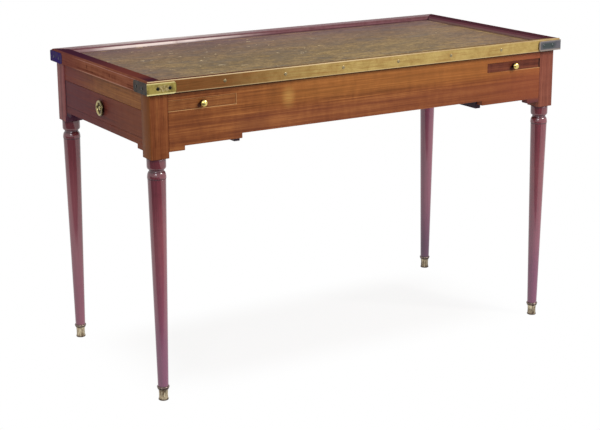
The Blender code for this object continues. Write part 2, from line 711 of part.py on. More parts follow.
def rim_profile(width, outer_round):
    """A rim rail's section, from its outer face inwards: rounded edges and a groove for the panel."""
    tongue = width - PANEL_TONGUE - GAP
    section = [(0.0, TOP_BOTTOM)]
    section += arc((outer_round, TABLE_HEIGHT - outer_round), outer_round, outer_round, 180, 90)
    section += arc((width - RIM_INNER_ROUND, TABLE_HEIGHT - RIM_INNER_ROUND),
                   RIM_INNER_ROUND, RIM_INNER_ROUND, 90, 0)
    section += [(width, PANEL_TOP + GAP), (tongue, PANEL_TOP + GAP)]
    section += [(tongue, PANEL_BOTTOM - GAP), (width, PANEL_BOTTOM - GAP), (width, TOP_BOTTOM)]
    return section


def rim_rail(name, width, length, start_width, end_width, turn, outer_face, outer_round=RIM_OUTER_ROUND):
    """One mitred rail of the top's frame. The widths are those of the rails that it meets."""
    rail = outline(name, [rim_profile(width, outer_round)], length - 2 * GAP, outer_face, turn, MAHOGANY)
    for vertex in rail.data.vertices:
        neighbour = end_width if vertex.co.z > 0.0 else start_width
        vertex.co.z -= math.copysign(vertex.co.x * neighbour / width, vertex.co.z)
    return rail


def top_rims():
    """The four mitred rails round the leather."""
    long_side, short_side = 2 * TOP_X, 2 * TOP_Y
    quarter = math.pi / 2
    return [
        rim_rail("rim_front", FRONT_RIM, long_side, SIDE_RIM, SIDE_RIM, (quarter, 0, quarter), (0, -TOP_Y, 0),
                 FRONT_RIM_ROUND),
        rim_rail("rim_back", SIDE_RIM, long_side, SIDE_RIM, SIDE_RIM, (quarter, 0, -quarter), (0, TOP_Y, 0)),
        rim_rail("rim_left", SIDE_RIM, short_side, SIDE_RIM, FRONT_RIM, (quarter, 0, 0), (-TOP_X, 0, 0)),
        rim_rail("rim_right", SIDE_RIM, short_side, FRONT_RIM, SIDE_RIM, (quarter, 0, 2 * quarter), (TOP_X, 0, 0)),
    ]


def linings():
    """The panel held in the rims' grooves, the leather on it and the baize under it."""
    tongue = PANEL_TONGUE
    panel = box("top_panel", (-RECESS_X - tongue, RECESS_FRONT - tongue, PANEL_BOTTOM),
                (RECESS_X + tongue, RECESS_BACK + tongue, PANEL_TOP), OAK)
    edge = LINING_CLEARANCE
    low, high = (-RECESS_X + edge, RECESS_FRONT + edge), (RECESS_X - edge, RECESS_BACK - edge)
    leather = box("leather_lining", (*low, LEATHER_TOP - LEATHER), (*high, LEATHER_TOP), HIDE)
    baize = box("baize_lining", (*low, BAIZE_TOP - BAIZE), (*high, BAIZE_TOP), CLOTH)
    return [panel, leather, baize]


def bracket_leaf():
    """One leaf of a corner bracket, from the corner along the edge, with a rounded free end."""
    straight, radius = BRACKET_LEAF - BRACKET_CORNER, BRACKET_CORNER
    shape = [(0.0, BRACKET_TOP), (0.0, TOP_BOTTOM)]
    shape += arc((straight, TOP_BOTTOM + radius), radius, radius, -90, 0)
    shape += arc((straight, BRACKET_TOP - radius), radius, radius, 0, 90)
    return shape


def bracket_reach(face):
    """How far the brackets' outer faces stand from the middle. Those in front lie over the strip."""
    under = STRIP_THICKNESS + GAP if face < 0 else 0.0
    return TOP_X + GAP + BRASS, TOP_Y + GAP + under + BRASS


def bracket(side_name, face_name):
    """A brass corner bracket with a leaf on each face of the top's edge."""
    side, face = SIDES[side_name], FACES[face_name]
    name = "corner_bracket_" + face_name + "_" + side_name
    far_x, far_y = bracket_reach(face)
    long_leaf = [(side * (far_x - along), up) for along, up in bracket_leaf()]
    middle = (0.0, face * (far_y - BRASS / 2), 0.0)
    material = OLD_BRASS if (side_name, face_name) == ("left", "front") else DARK_BRASS
    piece = outline(name, [long_leaf], BRASS, middle, UPRIGHT_ALONG, material)
    short_leaf = [(face * (far_y - along), up) for along, up in bracket_leaf()]
    middle = (side * (far_x - BRASS / 2), 0.0, 0.0)
    fuse(piece, outline(name + "_leaf", [short_leaf], BRASS, middle, UPRIGHT_ACROSS))
    return piece


def screw_places():
    """Every screw in the top's edge: its seat on the brass, and how it is turned to point outwards."""
    height = (BRACKET_TOP + TOP_BOTTOM) / 2
    places = []
    for side in SIDES.values():
        for face in FACES.values():
            far_x, far_y = bracket_reach(face)
            for along in BRACKET_SCREWS:
                places.append(((side * (far_x - along), face * far_y, height), (-face * math.pi / 2, 0.0, 0.0)))
                places.append(((side * far_x, face * (far_y - along), height), (0.0, side * math.pi / 2, 0.0)))
    strip_face = -TOP_Y - GAP - STRIP_THICKNESS
    height = (TABLE_HEIGHT + TOP_BOTTOM) / 2
    for number in range(STRIP_SCREWS):
        across = (number - (STRIP_SCREWS - 1) / 2) * STRIP_SCREW_PITCH
        places.append(((across, strip_face, height), (math.pi / 2, 0.0, 0.0)))
    return places


def bore_screw_holes(pieces):
    """Cut the holes for the edge's screws through the brass and into the rims."""
    radius = SCREW_RADIUS + GAP
    bore = [(0.0, OVERRUN), (radius, OVERRUN), (radius, -SCREW_LENGTH), (0.0, -SCREW_LENGTH)]
    mesh = bpy.data.meshes.new("screw_holes")
    bm = bmesh.new()
    for location, turn in screw_places():
        hole = turned("screw_hole", bore, SCREW_STEPS, None, location, turn)
        hole.data.transform(hole.matrix_world)
        bm.from_mesh(hole.data)
        bpy.data.objects.remove(hole, do_unlink=True)
    bm.to_mesh(mesh)
    bm.free()
    holes = place("screw_holes", mesh, None)
    for piece in pieces:
        carve(piece, holes)


def edge_strip():
    """The brass along the whole front edge, between the ends of the top."""
    back = -TOP_Y - GAP
    low, high = (-TOP_X, back - STRIP_THICKNESS, TOP_BOTTOM), (TOP_X, back, TABLE_HEIGHT)
    return box("brass_edge_strip", low, high, OLD_BRASS)


def lift_off_top():
    """Everything that lifts off together."""
    rims = top_rims()
    brasses = [bracket(side_name, face_name) for side_name in SIDES for face_name in FACES]
    brasses.append(edge_strip())
    bore_screw_holes(rims + brasses)
    hang([*rims, *brasses, *linings()], joint_origin("top_lift_axis", (0.0, 0.0, CASE_TOP)))


def case():
    """The legs, the frieze and what is fixed inside it."""
    for side_name in SIDES:
        for face_name in FACES:
            leg(side_name, face_name)
            sabot(side_name, face_name)
    for face_name in FACES:
        apron(face_name)
    for side_name in SIDES:
        end_top_rail(side_name)
        end_bottom_rail(side_name)
        partition(side_name)
        end_deck(side_name)
        slide_bearer(side_name)
        slide_stop(side_name)
        for face_name in FACES:
            drawer_runner(side_name, face_name)
    well_floor()
    centre_bar()


def moving_pieces():
    """The drawers, the slides and the top."""
    for side_name in SIDES:
        end_drawer(side_name)
        for face_name in FACES:
            candle_slide(side_name, face_name)
    lift_off_top()


case()
moving_pieces()
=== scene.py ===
"""The tric-trac table, dressed: wood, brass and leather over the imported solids, on a pale floor."""
import json
import math

import bmesh
import bpy
from mathutils import Matrix, Vector

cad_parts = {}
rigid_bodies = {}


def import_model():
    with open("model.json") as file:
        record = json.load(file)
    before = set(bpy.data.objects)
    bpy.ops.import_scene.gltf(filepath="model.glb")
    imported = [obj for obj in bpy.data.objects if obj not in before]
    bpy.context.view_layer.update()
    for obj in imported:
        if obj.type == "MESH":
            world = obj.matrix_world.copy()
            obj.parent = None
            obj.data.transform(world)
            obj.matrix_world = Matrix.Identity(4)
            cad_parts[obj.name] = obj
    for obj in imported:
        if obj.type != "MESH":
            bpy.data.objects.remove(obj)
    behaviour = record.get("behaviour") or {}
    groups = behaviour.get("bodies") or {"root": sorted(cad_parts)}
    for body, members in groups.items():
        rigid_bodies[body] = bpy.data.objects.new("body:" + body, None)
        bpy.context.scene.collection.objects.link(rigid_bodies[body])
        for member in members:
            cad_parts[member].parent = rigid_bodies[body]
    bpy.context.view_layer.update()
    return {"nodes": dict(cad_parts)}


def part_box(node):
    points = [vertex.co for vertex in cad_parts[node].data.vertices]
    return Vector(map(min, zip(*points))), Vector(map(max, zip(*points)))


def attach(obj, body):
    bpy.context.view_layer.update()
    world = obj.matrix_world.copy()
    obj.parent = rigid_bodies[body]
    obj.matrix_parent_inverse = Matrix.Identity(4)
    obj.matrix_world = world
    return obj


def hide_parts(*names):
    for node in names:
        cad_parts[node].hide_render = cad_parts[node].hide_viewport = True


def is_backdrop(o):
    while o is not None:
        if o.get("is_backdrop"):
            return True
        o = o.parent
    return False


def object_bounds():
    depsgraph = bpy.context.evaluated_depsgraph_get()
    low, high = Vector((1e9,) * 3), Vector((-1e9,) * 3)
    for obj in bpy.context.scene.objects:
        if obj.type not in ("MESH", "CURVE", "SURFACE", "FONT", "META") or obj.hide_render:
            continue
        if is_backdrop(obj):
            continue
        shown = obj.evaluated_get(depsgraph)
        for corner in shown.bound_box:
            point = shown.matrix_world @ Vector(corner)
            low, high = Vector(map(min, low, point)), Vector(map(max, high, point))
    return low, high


for leftover in list(bpy.data.objects):
    bpy.data.objects.remove(leftover, do_unlink=True)
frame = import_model()
NODES = frame["nodes"]
SCENE = bpy.context.scene

SIDES = {"left": -1, "right": 1}
FACES = {"front": -1, "back": 1}
CORNERS = [(face_name + "_" + side_name, side, face)
           for side_name, side in SIDES.items() for face_name, face in FACES.items()]

# Places read from the solids
POST_LOW, POST_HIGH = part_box("leg_front_left")
APRON_LOW, APRON_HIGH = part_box("front_apron")
SLIDE_LOW, SLIDE_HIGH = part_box("candle_slide_front_left")
DRAWER_LOW, DRAWER_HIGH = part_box("drawer_left_front")
RIM_LOW, RIM_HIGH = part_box("rim_left")
LEATHER_LOW, LEATHER_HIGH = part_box("leather_lining")
STRIP_LOW, STRIP_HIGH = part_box("brass_edge_strip")
BRACKET_LOW, BRACKET_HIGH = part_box("corner_bracket_front_left")
PARTITION_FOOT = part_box("partition_left")[0].z
WELL_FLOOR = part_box("well_floor")[1].z
BAR_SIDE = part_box("centre_bar")[1].x
SABOT_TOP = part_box("sabot_front_left")[1].z
DISC_FACE = -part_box("drawer_left_knob")[0].x

POST = POST_HIGH.x - POST_LOW.x
LEG_X = -(POST_LOW.x + POST_HIGH.x) / 2
LEG_Y = -(POST_LOW.y + POST_HIGH.y) / 2
POST_FACE_X = LEG_X + POST / 2
POST_FACE_Y = LEG_Y + POST / 2
CASE_TOP = APRON_HIGH.z
WELL_SIDE = -APRON_HIGH.y
SLIDE_FACE = -SLIDE_LOW.y
RIM_TOP = RIM_HIGH.z
TOP_X = -RIM_LOW.x
SIDE_RIM = RIM_HIGH.x - RIM_LOW.x
BRACKET_MIDDLE = (BRACKET_LOW.z + BRACKET_HIGH.z) / 2
END_OF_LEAF = -BRACKET_HIGH.x

# Sizes that no solid gives
POST_DROP = 0.014
POST_BOTTOM = APRON_LOW.z - POST_DROP
LEAF_MIDDLE = END_OF_LEAF + 0.03
SCREW_REACHES = (0.026, 0.055)
STRIP_SCREWS = 6
STRIP_PITCH = 0.156
TABLE_POINTS = 6
POINT_LENGTH = 0.195
POINT_GAP = 0.004
POINT_MARGIN = 0.005
PEG_HOLE_MARGIN = 0.01

# How deep the shade of one face goes into a piece
SKIN = 0.0012


# Colour and node helpers
def srgb(red, green, blue):
    """An sRGB colour, 0 to 255, as the linear colour that a shader takes."""
    channels = []
    for channel in (red, green, blue):
        value = channel / 255
        channels.append(value / 12.92 if value <= 0.04045 else ((value + 0.055) / 1.055) ** 2.4)
    return (*channels, 1.0)


class Surface:
    """A material under construction, with short ways to add and join nodes."""

    def __init__(self, name):
        self.material = bpy.data.materials.new(name)
        self.material.use_nodes = True
        self.tree = self.material.node_tree
        self.shader = self.tree.nodes["Principled BSDF"]
        self.output = self.tree.nodes["Material Output"]
        self.place = self.node("ShaderNodeTexCoord").outputs["Object"]

    def node(self, kind, **settings):
        made = self.tree.nodes.new(kind)
        for key, value in settings.items():
            setattr(made, key, value)
        return made

    def feed(self, socket, value):
        """Link an output to a socket, or set a plain value on it."""
        if isinstance(value, bpy.types.NodeSocket):
            self.tree.links.new(value, socket)
        else:
            socket.default_value = value

    def fill(self, made, **values):
        """Feed a node's sockets, whose names have a _ for each space here."""
        for key, value in values.items():
            self.feed(made.inputs[key.replace("_", " ")], value)

    def set(self, **values):
        self.fill(self.shader, **values)

    def axes(self, names="XYZ"):
        made = self.node("ShaderNodeSeparateXYZ")
        self.feed(made.inputs["Vector"], self.place)
        return [made.outputs[name] for name in names]

    def noise(self, scale, offset=(0.0, 0.0, 0.0), detail=3.0, rough=0.55, warp=0.0):
        """Cloudy values about a half, finer along an axis the larger its scale is."""
        mapping = self.node("ShaderNodeMapping")
        scale = scale if isinstance(scale, tuple) else (scale,) * 3
        self.fill(mapping, Vector=self.place, Scale=scale, Location=offset)
        made = self.node("ShaderNodeTexNoise")
        self.fill(made, Vector=mapping.outputs["Vector"], Scale=1.0)
        self.fill(made, Detail=detail, Roughness=rough, Distortion=warp)
        return made.outputs["Fac"]

    def math(self, operation, *values):
        made = self.node("ShaderNodeMath", operation=operation)
        for socket, value in zip(made.inputs, values):
            self.feed(socket, value)
        return made.outputs[0]

    def times(self, first, *others):
        for other in others:
            first = self.math("MULTIPLY", first, other)
        return first

    def larger(self, first, *others):
        for other in others:
            first = self.math("MAXIMUM", first, other)
        return first

    def smaller(self, first, second):
        return self.math("MINIMUM", first, second)

    def total(self, *parts):
        """The sum of values, each times its weight."""
        result = 0.0
        for value, weight in parts:
            result = self.math("MULTIPLY_ADD", value, weight, result)
        return result

    def minus(self, first, second):
        return self.math("SUBTRACT", first, second)

    def size(self, value):
        return self.math("ABSOLUTE", value)

    def gap(self, value, place):
        """How far a value is from a place, on either side."""
        return self.size(self.minus(value, place))

    def offset(self, value, place, scale=1.0):
        return self.times(self.minus(value, place), scale)

    def reach(self, across, up):
        """How far a point is from a centre, from its offsets on two axes."""
        return self.math("SQRT", self.total((across, across), (up, up)))

    def above(self, value, limit=0.0):
        return self.math("GREATER_THAN", value, limit)

    def below(self, value, limit=0.0):
        return self.math("LESS_THAN", value, limit)

    def within(self, value, place, distance):
        return self.math("COMPARE", value, place, distance)

    def spread(self, value, low, high, *ends, at=0.0, smooth=False):
        """A value mapped from a range about a place to 0 and 1, or other ends, and held there."""
        start, end = ends if len(ends) == 2 else (0.0, *(ends or (1.0,)))
        made = self.node("ShaderNodeMapRange")
        made.interpolation_type = "SMOOTHSTEP" if smooth else "LINEAR"
        self.fill(made, Value=value, From_Min=at + low, From_Max=at + high, To_Min=start, To_Max=end)
        return made.outputs["Result"]

    def ease(self, *numbers, at=0.0):
        """The same as spread, with a soft start and end."""
        return self.spread(*numbers, at=at, smooth=True)

    def ramp(self, value, *tones):
        """A colour that runs through sRGB tones at even steps."""
        made = self.node("ShaderNodeValToRGB")
        self.feed(made.inputs["Fac"], value)
        stops = made.color_ramp.elements
        while len(stops) < len(tones):
            stops.new(0.5)
        for number, tone in enumerate(tones):
            stops[number].position = number / (len(tones) - 1)
            stops[number].color = srgb(*tone)
        return made.outputs["Color"]

    def mix(self, amount, first, second):
        made = self.node("ShaderNodeMix", data_type="RGBA")
        self.feed(made.inputs["Factor"], amount)
        self.feed(made.inputs[6], first)
        self.feed(made.inputs[7], second)
        return made.outputs[2]

    def tint(self, colour, amount, *tone):
        """A colour taken some of the way to an sRGB tone."""
        return self.mix(amount, colour, srgb(*tone))

    def between(self, amount, first, second):
        """A colour between two sRGB tones."""
        return self.mix(amount, srgb(*first), srgb(*second))

    def cover(self, amount, under, over):
        made = self.node("ShaderNodeMixShader")
        for socket, value in zip(made.inputs, (amount, under, over)):
            self.feed(socket, value)
        return made.outputs["Shader"]

    def bump(self, height, strength, distance):
        made = self.node("ShaderNodeBump")
        self.fill(made, Height=height, Strength=strength, Distance=distance)
        self.set(Normal=made.outputs["Normal"])


def along(axis, grain, across):
    """A scale that is small along the grain and large across it."""
    return tuple(grain if name == axis else across for name in "XYZ")


def wood(name, axis, dark, middle, light, offset, gloss=(0.3, 0.46), coat=0.0, figure=1.0, shine=0.12,
         contrast=1.0, shade=None):
    """Polished wood with its grain along one axis: bands, streaks, pores and a slow drift of tone."""
    s = Surface(name)
    bands = s.noise(along(axis, 1.2, 46.0 * figure), offset, 4.0, 0.6, 0.2)
    streaks = s.noise(along(axis, 5.0, 260.0 * figure), offset, 4.0, 0.65, 0.1)
    ripple = s.noise(along(axis, 60.0, 22.0), offset, 3.0, 0.6, 0.3)
    pores = s.noise(along(axis, 26.0, 800.0), offset, 2.0)
    drift = s.noise(2.6, offset, 2.0)
    grain = s.total((bands, 0.34), (streaks, 0.5), (ripple, 0.16), (drift, 0.24))
    usual, swing = 0.62, 0.12 / contrast
    colour = s.ramp(s.spread(grain, usual - swing, usual + swing), dark, middle, light)
    pits = s.spread(pores, 0.42, 0.3)
    colour = s.tint(colour, s.times(pits, 0.45), *[channel / 2 for channel in dark])
    if shade is not None:
        colour = shade(s, colour)
    s.set(Base_Color=colour, Roughness=s.spread(streaks, 0.35, 0.65, *gloss))
    s.set(Coat_Weight=coat, Coat_Roughness=0.05, Coat_IOR=1.7, IOR=1.5, Specular_IOR_Level=shine)
    s.bump(s.total((pits, -1.0), (streaks, 1.0)), 0.12, 0.0004)
    return s.material


def brass(name, bright, dull, amount, rough, shade, oxidised=False):
    """Old brass: bright metal under patches of tarnish, with fine rubbing marks."""
    s = Surface(name)
    patches = s.noise(45.0, detail=5.0, rough=0.62, warp=0.4)
    specks = s.noise(420.0, detail=2.0)
    rubbed = s.noise((30.0, 900.0, 900.0), detail=2.0)
    tarnish = s.spread(s.total((patches, 0.75), (specks, 0.25)), *amount)
    s.set(Base_Color=shade(s, s.between(tarnish, bright, dull)))
    s.set(Metallic=0.0 if oxidised else 1.0, Specular_IOR_Level=0.0 if oxidised else 0.5)
    marks = s.spread(rubbed, 0.3, 0.7, -0.04, 0.04)
    s.set(Roughness=s.math("ADD", s.spread(patches, 0.3, 0.7, *rough), marks))
    s.bump(s.total((rubbed, 0.5), (specks, 1.0)), 0.1, 0.0003)
    return s.material


# Mesh helpers
def piece(name, mesh, material, body, *replaced):
    """Put a mesh in the scene as a piece that rides on a body, and perhaps stands for solids."""
    obj = bpy.data.objects.new(name, mesh)
    SCENE.collection.objects.link(obj)
    mesh.materials.clear()
    mesh.materials.append(material)
    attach(obj, body)
    if replaced:
        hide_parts(*replaced)
    return obj


def finished(name, bm, material, body, *replaced, smooth=30.0):
    """Make a piece of a mesh, shaded smooth up to an angle in degrees."""
    mesh = bpy.data.meshes.new(name)
    bmesh.ops.recalc_face_normals(bm, faces=bm.faces)
    bm.to_mesh(mesh)
    bm.free()
    mesh.shade_smooth()
    mesh.set_sharp_from_angle(angle=math.radians(smooth))
    return piece(name, mesh, material, body, *replaced)


def apply_modifiers(obj):
    bpy.context.view_layer.update()
    evaluated = obj.evaluated_get(bpy.context.evaluated_depsgraph_get())
    shaped = bpy.data.meshes.new_from_object(evaluated)
    obj.modifiers.clear()
    obj.data = shaped


def soften(bm, width, steps):
    """Round every edge of a mesh that is sharper than 35 degrees."""
    limit = math.radians(35.0)
    edges = [e for e in bm.edges if len(e.link_faces) == 2 and e.calc_face_angle(0.0) > limit]
    bmesh.ops.bevel(bm, geom=edges, offset=width, segments=steps, profile=0.5, affect="EDGES",
                    clamp_overlap=True)


def board(node, material, body, width=0.0008, steps=2):
    """A solid as it really looks: the same shape, with its edges rubbed round and its flats kept flat."""
    bm = bmesh.new()
    bm.from_mesh(NODES[node].data)
    bmesh.ops.remove_doubles(bm, verts=bm.verts, dist=0.00002)
    bmesh.ops.dissolve_limit(bm, angle_limit=math.radians(1.0), verts=bm.verts, edges=bm.edges)
    soften(bm, width, steps)
    made = finished(node + "_dressed", bm, material, body, node, smooth=50.0)
    weighted = made.modifiers.new("normals", "WEIGHTED_NORMAL")
    weighted.keep_sharp = True
    weighted.weight = 90
    apply_modifiers(made)


def block(bm, low, high):
    """Add a block between two corners to a mesh."""
    low, high = Vector(low), Vector(high)
    matrix = Matrix.Translation((low + high) / 2) @ Matrix.Diagonal((*(high - low), 1.0))
    return bmesh.ops.create_cube(bm, size=1.0, matrix=matrix)["verts"]


def soft_block(bm, low, high, width, steps):
    """Add a block with rounded edges to a mesh."""
    made = bmesh.new()
    block(made, low, high)
    soften(made, width, steps)
    mesh = bpy.data.meshes.new("block")
    made.to_mesh(mesh)
    made.free()
    bm.from_mesh(mesh)
    bpy.data.meshes.remove(mesh)


def arc(centre, radius_x, radius_y, start, end, steps):
    """Points along an elliptic arc, between two angles in degrees."""
    points = []
    for i in range(steps + 1):
        angle = math.radians(start + (end - start) * i / steps)
        points.append((centre[0] + radius_x * math.cos(angle), centre[1] + radius_y * math.sin(angle)))
    return points


def lathe(bm, profile, matrix, steps):
    """Add a turned body to a mesh. Its profile gives radii and heights, from the top down."""
    rings = []
    for radius, height in profile:
        if radius < 1e-7:
            rings.append([bm.verts.new(matrix @ Vector((0.0, 0.0, height)))])
            continue
        ring = []
        for i in range(steps):
            angle = 2.0 * math.pi * i / steps
            place = Vector((radius * math.cos(angle), radius * math.sin(angle), height))
            ring.append(bm.verts.new(matrix @ place))
        rings.append(ring)
    for upper, lower in zip(rings, rings[1:]):
        for i in range(steps):
            j = (i + 1) % steps
            corners = [ring[k % len(ring)] for ring, k in ((upper, i), (lower, i), (lower, j), (upper, j))]
            corners = list(dict.fromkeys(corners))
            if len(corners) > 2:
                bm.faces.new(corners)


def turned(name, profile, matrix, material, body, *replaced, steps=64):
    bm = bmesh.new()
    lathe(bm, profile, matrix, steps)
    bmesh.ops.remove_doubles(bm, verts=bm.verts, dist=0.000005)
    finished(name, bm, material, body, *replaced, smooth=38.0)


# How the wood has aged, and the light and shade painted on it
def under_top_painted_shadow(s, colour):
    """Painted shadow: a dark band on the outer faces just under the overhanging top."""
    x, y, z = s.axes()
    outside = s.larger(s.above(s.size(x), POST_FACE_X - SKIN), s.above(s.size(y), POST_FACE_Y - SKIN))
    # Painted shadow of the top's overhang
    dirt = s.times(s.ease(z, -0.005, -0.0032, 0.85, at=CASE_TOP), outside)
    return s.tint(colour, dirt, 34, 16, 10)


def front_tones_and_painted_shade(s, colour):
    """Golden at the top, redder below, pale in one spot and pale-lined at the slides, with painted shade.
    """
    x, z = s.axes("XZ")
    colour = s.tint(colour, s.ease(x, -0.3, -0.56, 0.3), 92, 44, 22)
    colour = s.tint(colour, s.ease(x, -0.1, 0.62, 0.45), 136, 72, 36)
    golden = s.times(s.ease(z, -0.066, -0.04, 0.24, at=CASE_TOP), s.spread(x, -0.38, -0.18))
    colour = s.tint(colour, golden, 180, 119, 54)
    redder = s.times(s.ease(z, -0.055, -0.08, 0.3, at=CASE_TOP), s.spread(x, -0.42, -0.3, 0.3, 1.0))
    colour = s.tint(colour, redder, 104, 52, 40)
    beside_slide = s.ease(s.gap(x, -0.318), 0.06, 0.02, 0.36)
    low_down = s.ease(z, -0.062, -0.08, at=CASE_TOP)
    colour = s.tint(colour, s.times(beside_slide, low_down), 86, 42, 26)
    above_slides = s.spread(z, -0.002, 0.002, 0.35, 0.75, at=SLIDE_HIGH.z)
    colour = s.tint(colour, s.times(s.ease(x, 0.32, 0.52), above_slides), 122, 60, 44)

    from_spot = s.reach(s.offset(x, -0.2205, 42.0), s.offset(z, CASE_TOP - 0.04, 28.0))
    fine = s.spread(s.noise((9.0, 1.0, 420.0), (0.0, 0.0, 0.8)), 0.38, 0.62, 0.3, 1.0)
    colour = s.tint(colour, s.times(s.ease(from_spot, 1.0, 0.0, 0.52), fine), 194, 152, 82)

    in_length = s.below(x, SLIDE_HIGH.x + 0.0022)
    in_height = s.times(s.above(z, SLIDE_LOW.z - 0.0022), s.below(z, SLIDE_HIGH.z + 0.0022))
    sill = s.within(z, SLIDE_LOW.z - 0.001, 0.0009)
    head = s.times(s.within(z, SLIDE_HIGH.z + 0.001, 0.0008), 0.45)
    jamb = s.times(s.within(x, SLIDE_HIGH.x + 0.001, 0.0009), 0.7)
    lines = s.times(s.larger(sill, head, jamb), in_length, in_height)
    lines = s.larger(lines, s.times(sill, s.spread(x, 0.4, 0.46, 0.8)))
    colour = s.tint(colour, s.times(lines, 0.42), 222, 176, 120)
    # Painted shade under the right ear of the apron
    ear = s.times(s.spread(x, 0.4, 0.48), s.spread(z, 0.014, 0.004, at=APRON_LOW.z))
    colour = s.tint(colour, s.times(ear, 0.7), 72, 38, 50)
    # Painted shadow under the top
    return under_top_painted_shadow(s, colour)


def end_shade(s, colour):
    """The ends are darker and redder towards the back."""
    y = s.axes("Y")[0]
    return s.tint(colour, s.ease(y, -0.06, 0.2, 0.8), 112, 44, 46)


def drawer_shade(s, colour):
    """Purple towards the back; painted shade darkens the back ear and the gap at the back post."""
    y, z = s.axes("YZ")
    colour = s.tint(colour, s.ease(y, -0.1, 0.2, 0.6), 92, 42, 54)
    colour = s.tint(colour, s.ease(y, 0.02, -0.2, 0.5), 122, 70, 40)
    # Painted shade under the ear of the end rail, beside the back post
    back_ear_shade = s.times(s.spread(z, 0.012, 0.007, 0.8, at=APRON_LOW.z), s.above(y, 0.1))
    colour = s.tint(colour, back_ear_shade, 46, 28, 50)
    # Painted shadow in the gap between the drawer front and the back post
    gap = s.spread(y, -0.006, -0.0036, 0.85, at=DRAWER_HIGH.y)
    return s.tint(colour, gap, 40, 22, 36)


def knob_painted_shadow(s, colour):
    """A painted shadow of each knob on the wood, below it and towards the left."""
    x, y, z = s.axes()
    middle = (SLIDE_LOW + SLIDE_HIGH) / 2
    to_left, down = 0.0072, 0.0046
    across = s.smaller(s.gap(x, middle.x - to_left), s.gap(x, -middle.x - to_left))
    from_shadow_middle = s.reach(across, s.minus(z, middle.z - down))
    dark = s.times(s.ease(from_shadow_middle, 0.0066, 0.004, 0.88), s.above(s.size(y), SLIDE_FACE - 0.002))
    return s.tint(colour, dark, 44, 14, 10)


def slide_end_painted_shadow(s, colour):
    """Painted shadow: a right slide is black at its outer end, in the gap where it meets the post."""
    x = s.axes("X")[0]
    end = s.spread(s.size(x), -0.004, -0.0026, at=-SLIDE_LOW.x)
    return knob_painted_shadow(s, s.tint(colour, end, 30, 14, 10))


def partition_shade(s, colour):
    """Painted shade: a partition's lower edge, which hangs below the frieze, is almost black."""
    z = s.axes("Z")[0]
    return s.tint(colour, s.spread(z, 0.04, 0.022, 0.9, at=PARTITION_FOOT), 34, 22, 40)


def post_shade(s, colour):
    """A front post is more golden on its end face."""
    x = s.axes("X")[0]
    face = s.spread(s.size(x), -0.001, -0.0003, 0.5, at=POST_FACE_X)
    # Painted shadow under the top, as on the apron
    return under_top_painted_shadow(s, s.tint(colour, face, 126, 72, 22))


def back_post_shade(s, colour):
    """Painted shadow and dirt darken the corner between a back post and the ear of the end rail."""
    y, z = s.axes("YZ")
    low = s.spread(z, 0.018, 0.011, 0.8, at=POST_BOTTOM)
    return s.tint(colour, s.times(low, s.below(y, LEG_Y - POST / 2 + SKIN)), 52, 30, 54)


def leg_shade(s, colour):
    """Painted reflection, light and shade on the legs, whose tones also vary from leg to leg."""
    x, y, z = s.axes()
    right, back = s.above(x), s.above(y)
    # Painted reflection: the lower legs turn bluer
    colour = s.tint(colour, s.ease(z, 0.42, 0.06, 0.65), 118, 62, 101)
    # The back legs are paler; the back right one darkens towards its foot in painted shade.
    back_right = s.between(s.spread(z, 0.1, 0.3), (62, 24, 50), (114, 60, 98))
    back_left = s.between(s.spread(z, 0.34, 0.46), (148, 76, 84), (122, 52, 58))
    colour = s.mix(s.times(back, 0.4), colour, s.mix(right, back_left, back_right))
    # More painted shade at the foot of the back right leg
    colour = s.tint(colour, s.times(s.ease(z, 0.15, 0.06, 0.5), right, back), 52, 18, 56)
    # Painted light on the middle of the legs
    middle_painted_light = s.smaller(s.ease(z, 0.5, 0.38, 0.22), s.ease(z, 0.12, 0.22, 0.22))
    colour = s.tint(colour, middle_painted_light, 152, 96, 102)
    # Painted shade on the upper part of the left legs, under the case
    colour = s.tint(colour, s.times(s.ease(z, 0.4, 0.52, 0.26), s.below(x)), 78, 24, 36)
    # Painted shade on the drum, and a painted shadow just under the post
    colour = s.tint(colour, s.ease(z, -0.03, -0.022, 0.4, at=POST_BOTTOM), 80, 26, 30)
    colour = s.tint(colour, s.ease(z, -0.009, -0.002, 0.5, at=POST_BOTTOM), 50, 18, 34)
    # Painted shade in the neck and the quirk of the turning
    neck = s.ease(s.gap(z, POST_BOTTOM - 0.028), 0.007, 0.002, 0.65)
    colour = s.tint(colour, neck, 54, 22, 34)
    quirk = s.ease(s.gap(z, POST_BOTTOM - 0.0458), 0.0024, 0.001, 0.45)
    return s.tint(colour, quirk, 44, 18, 30)


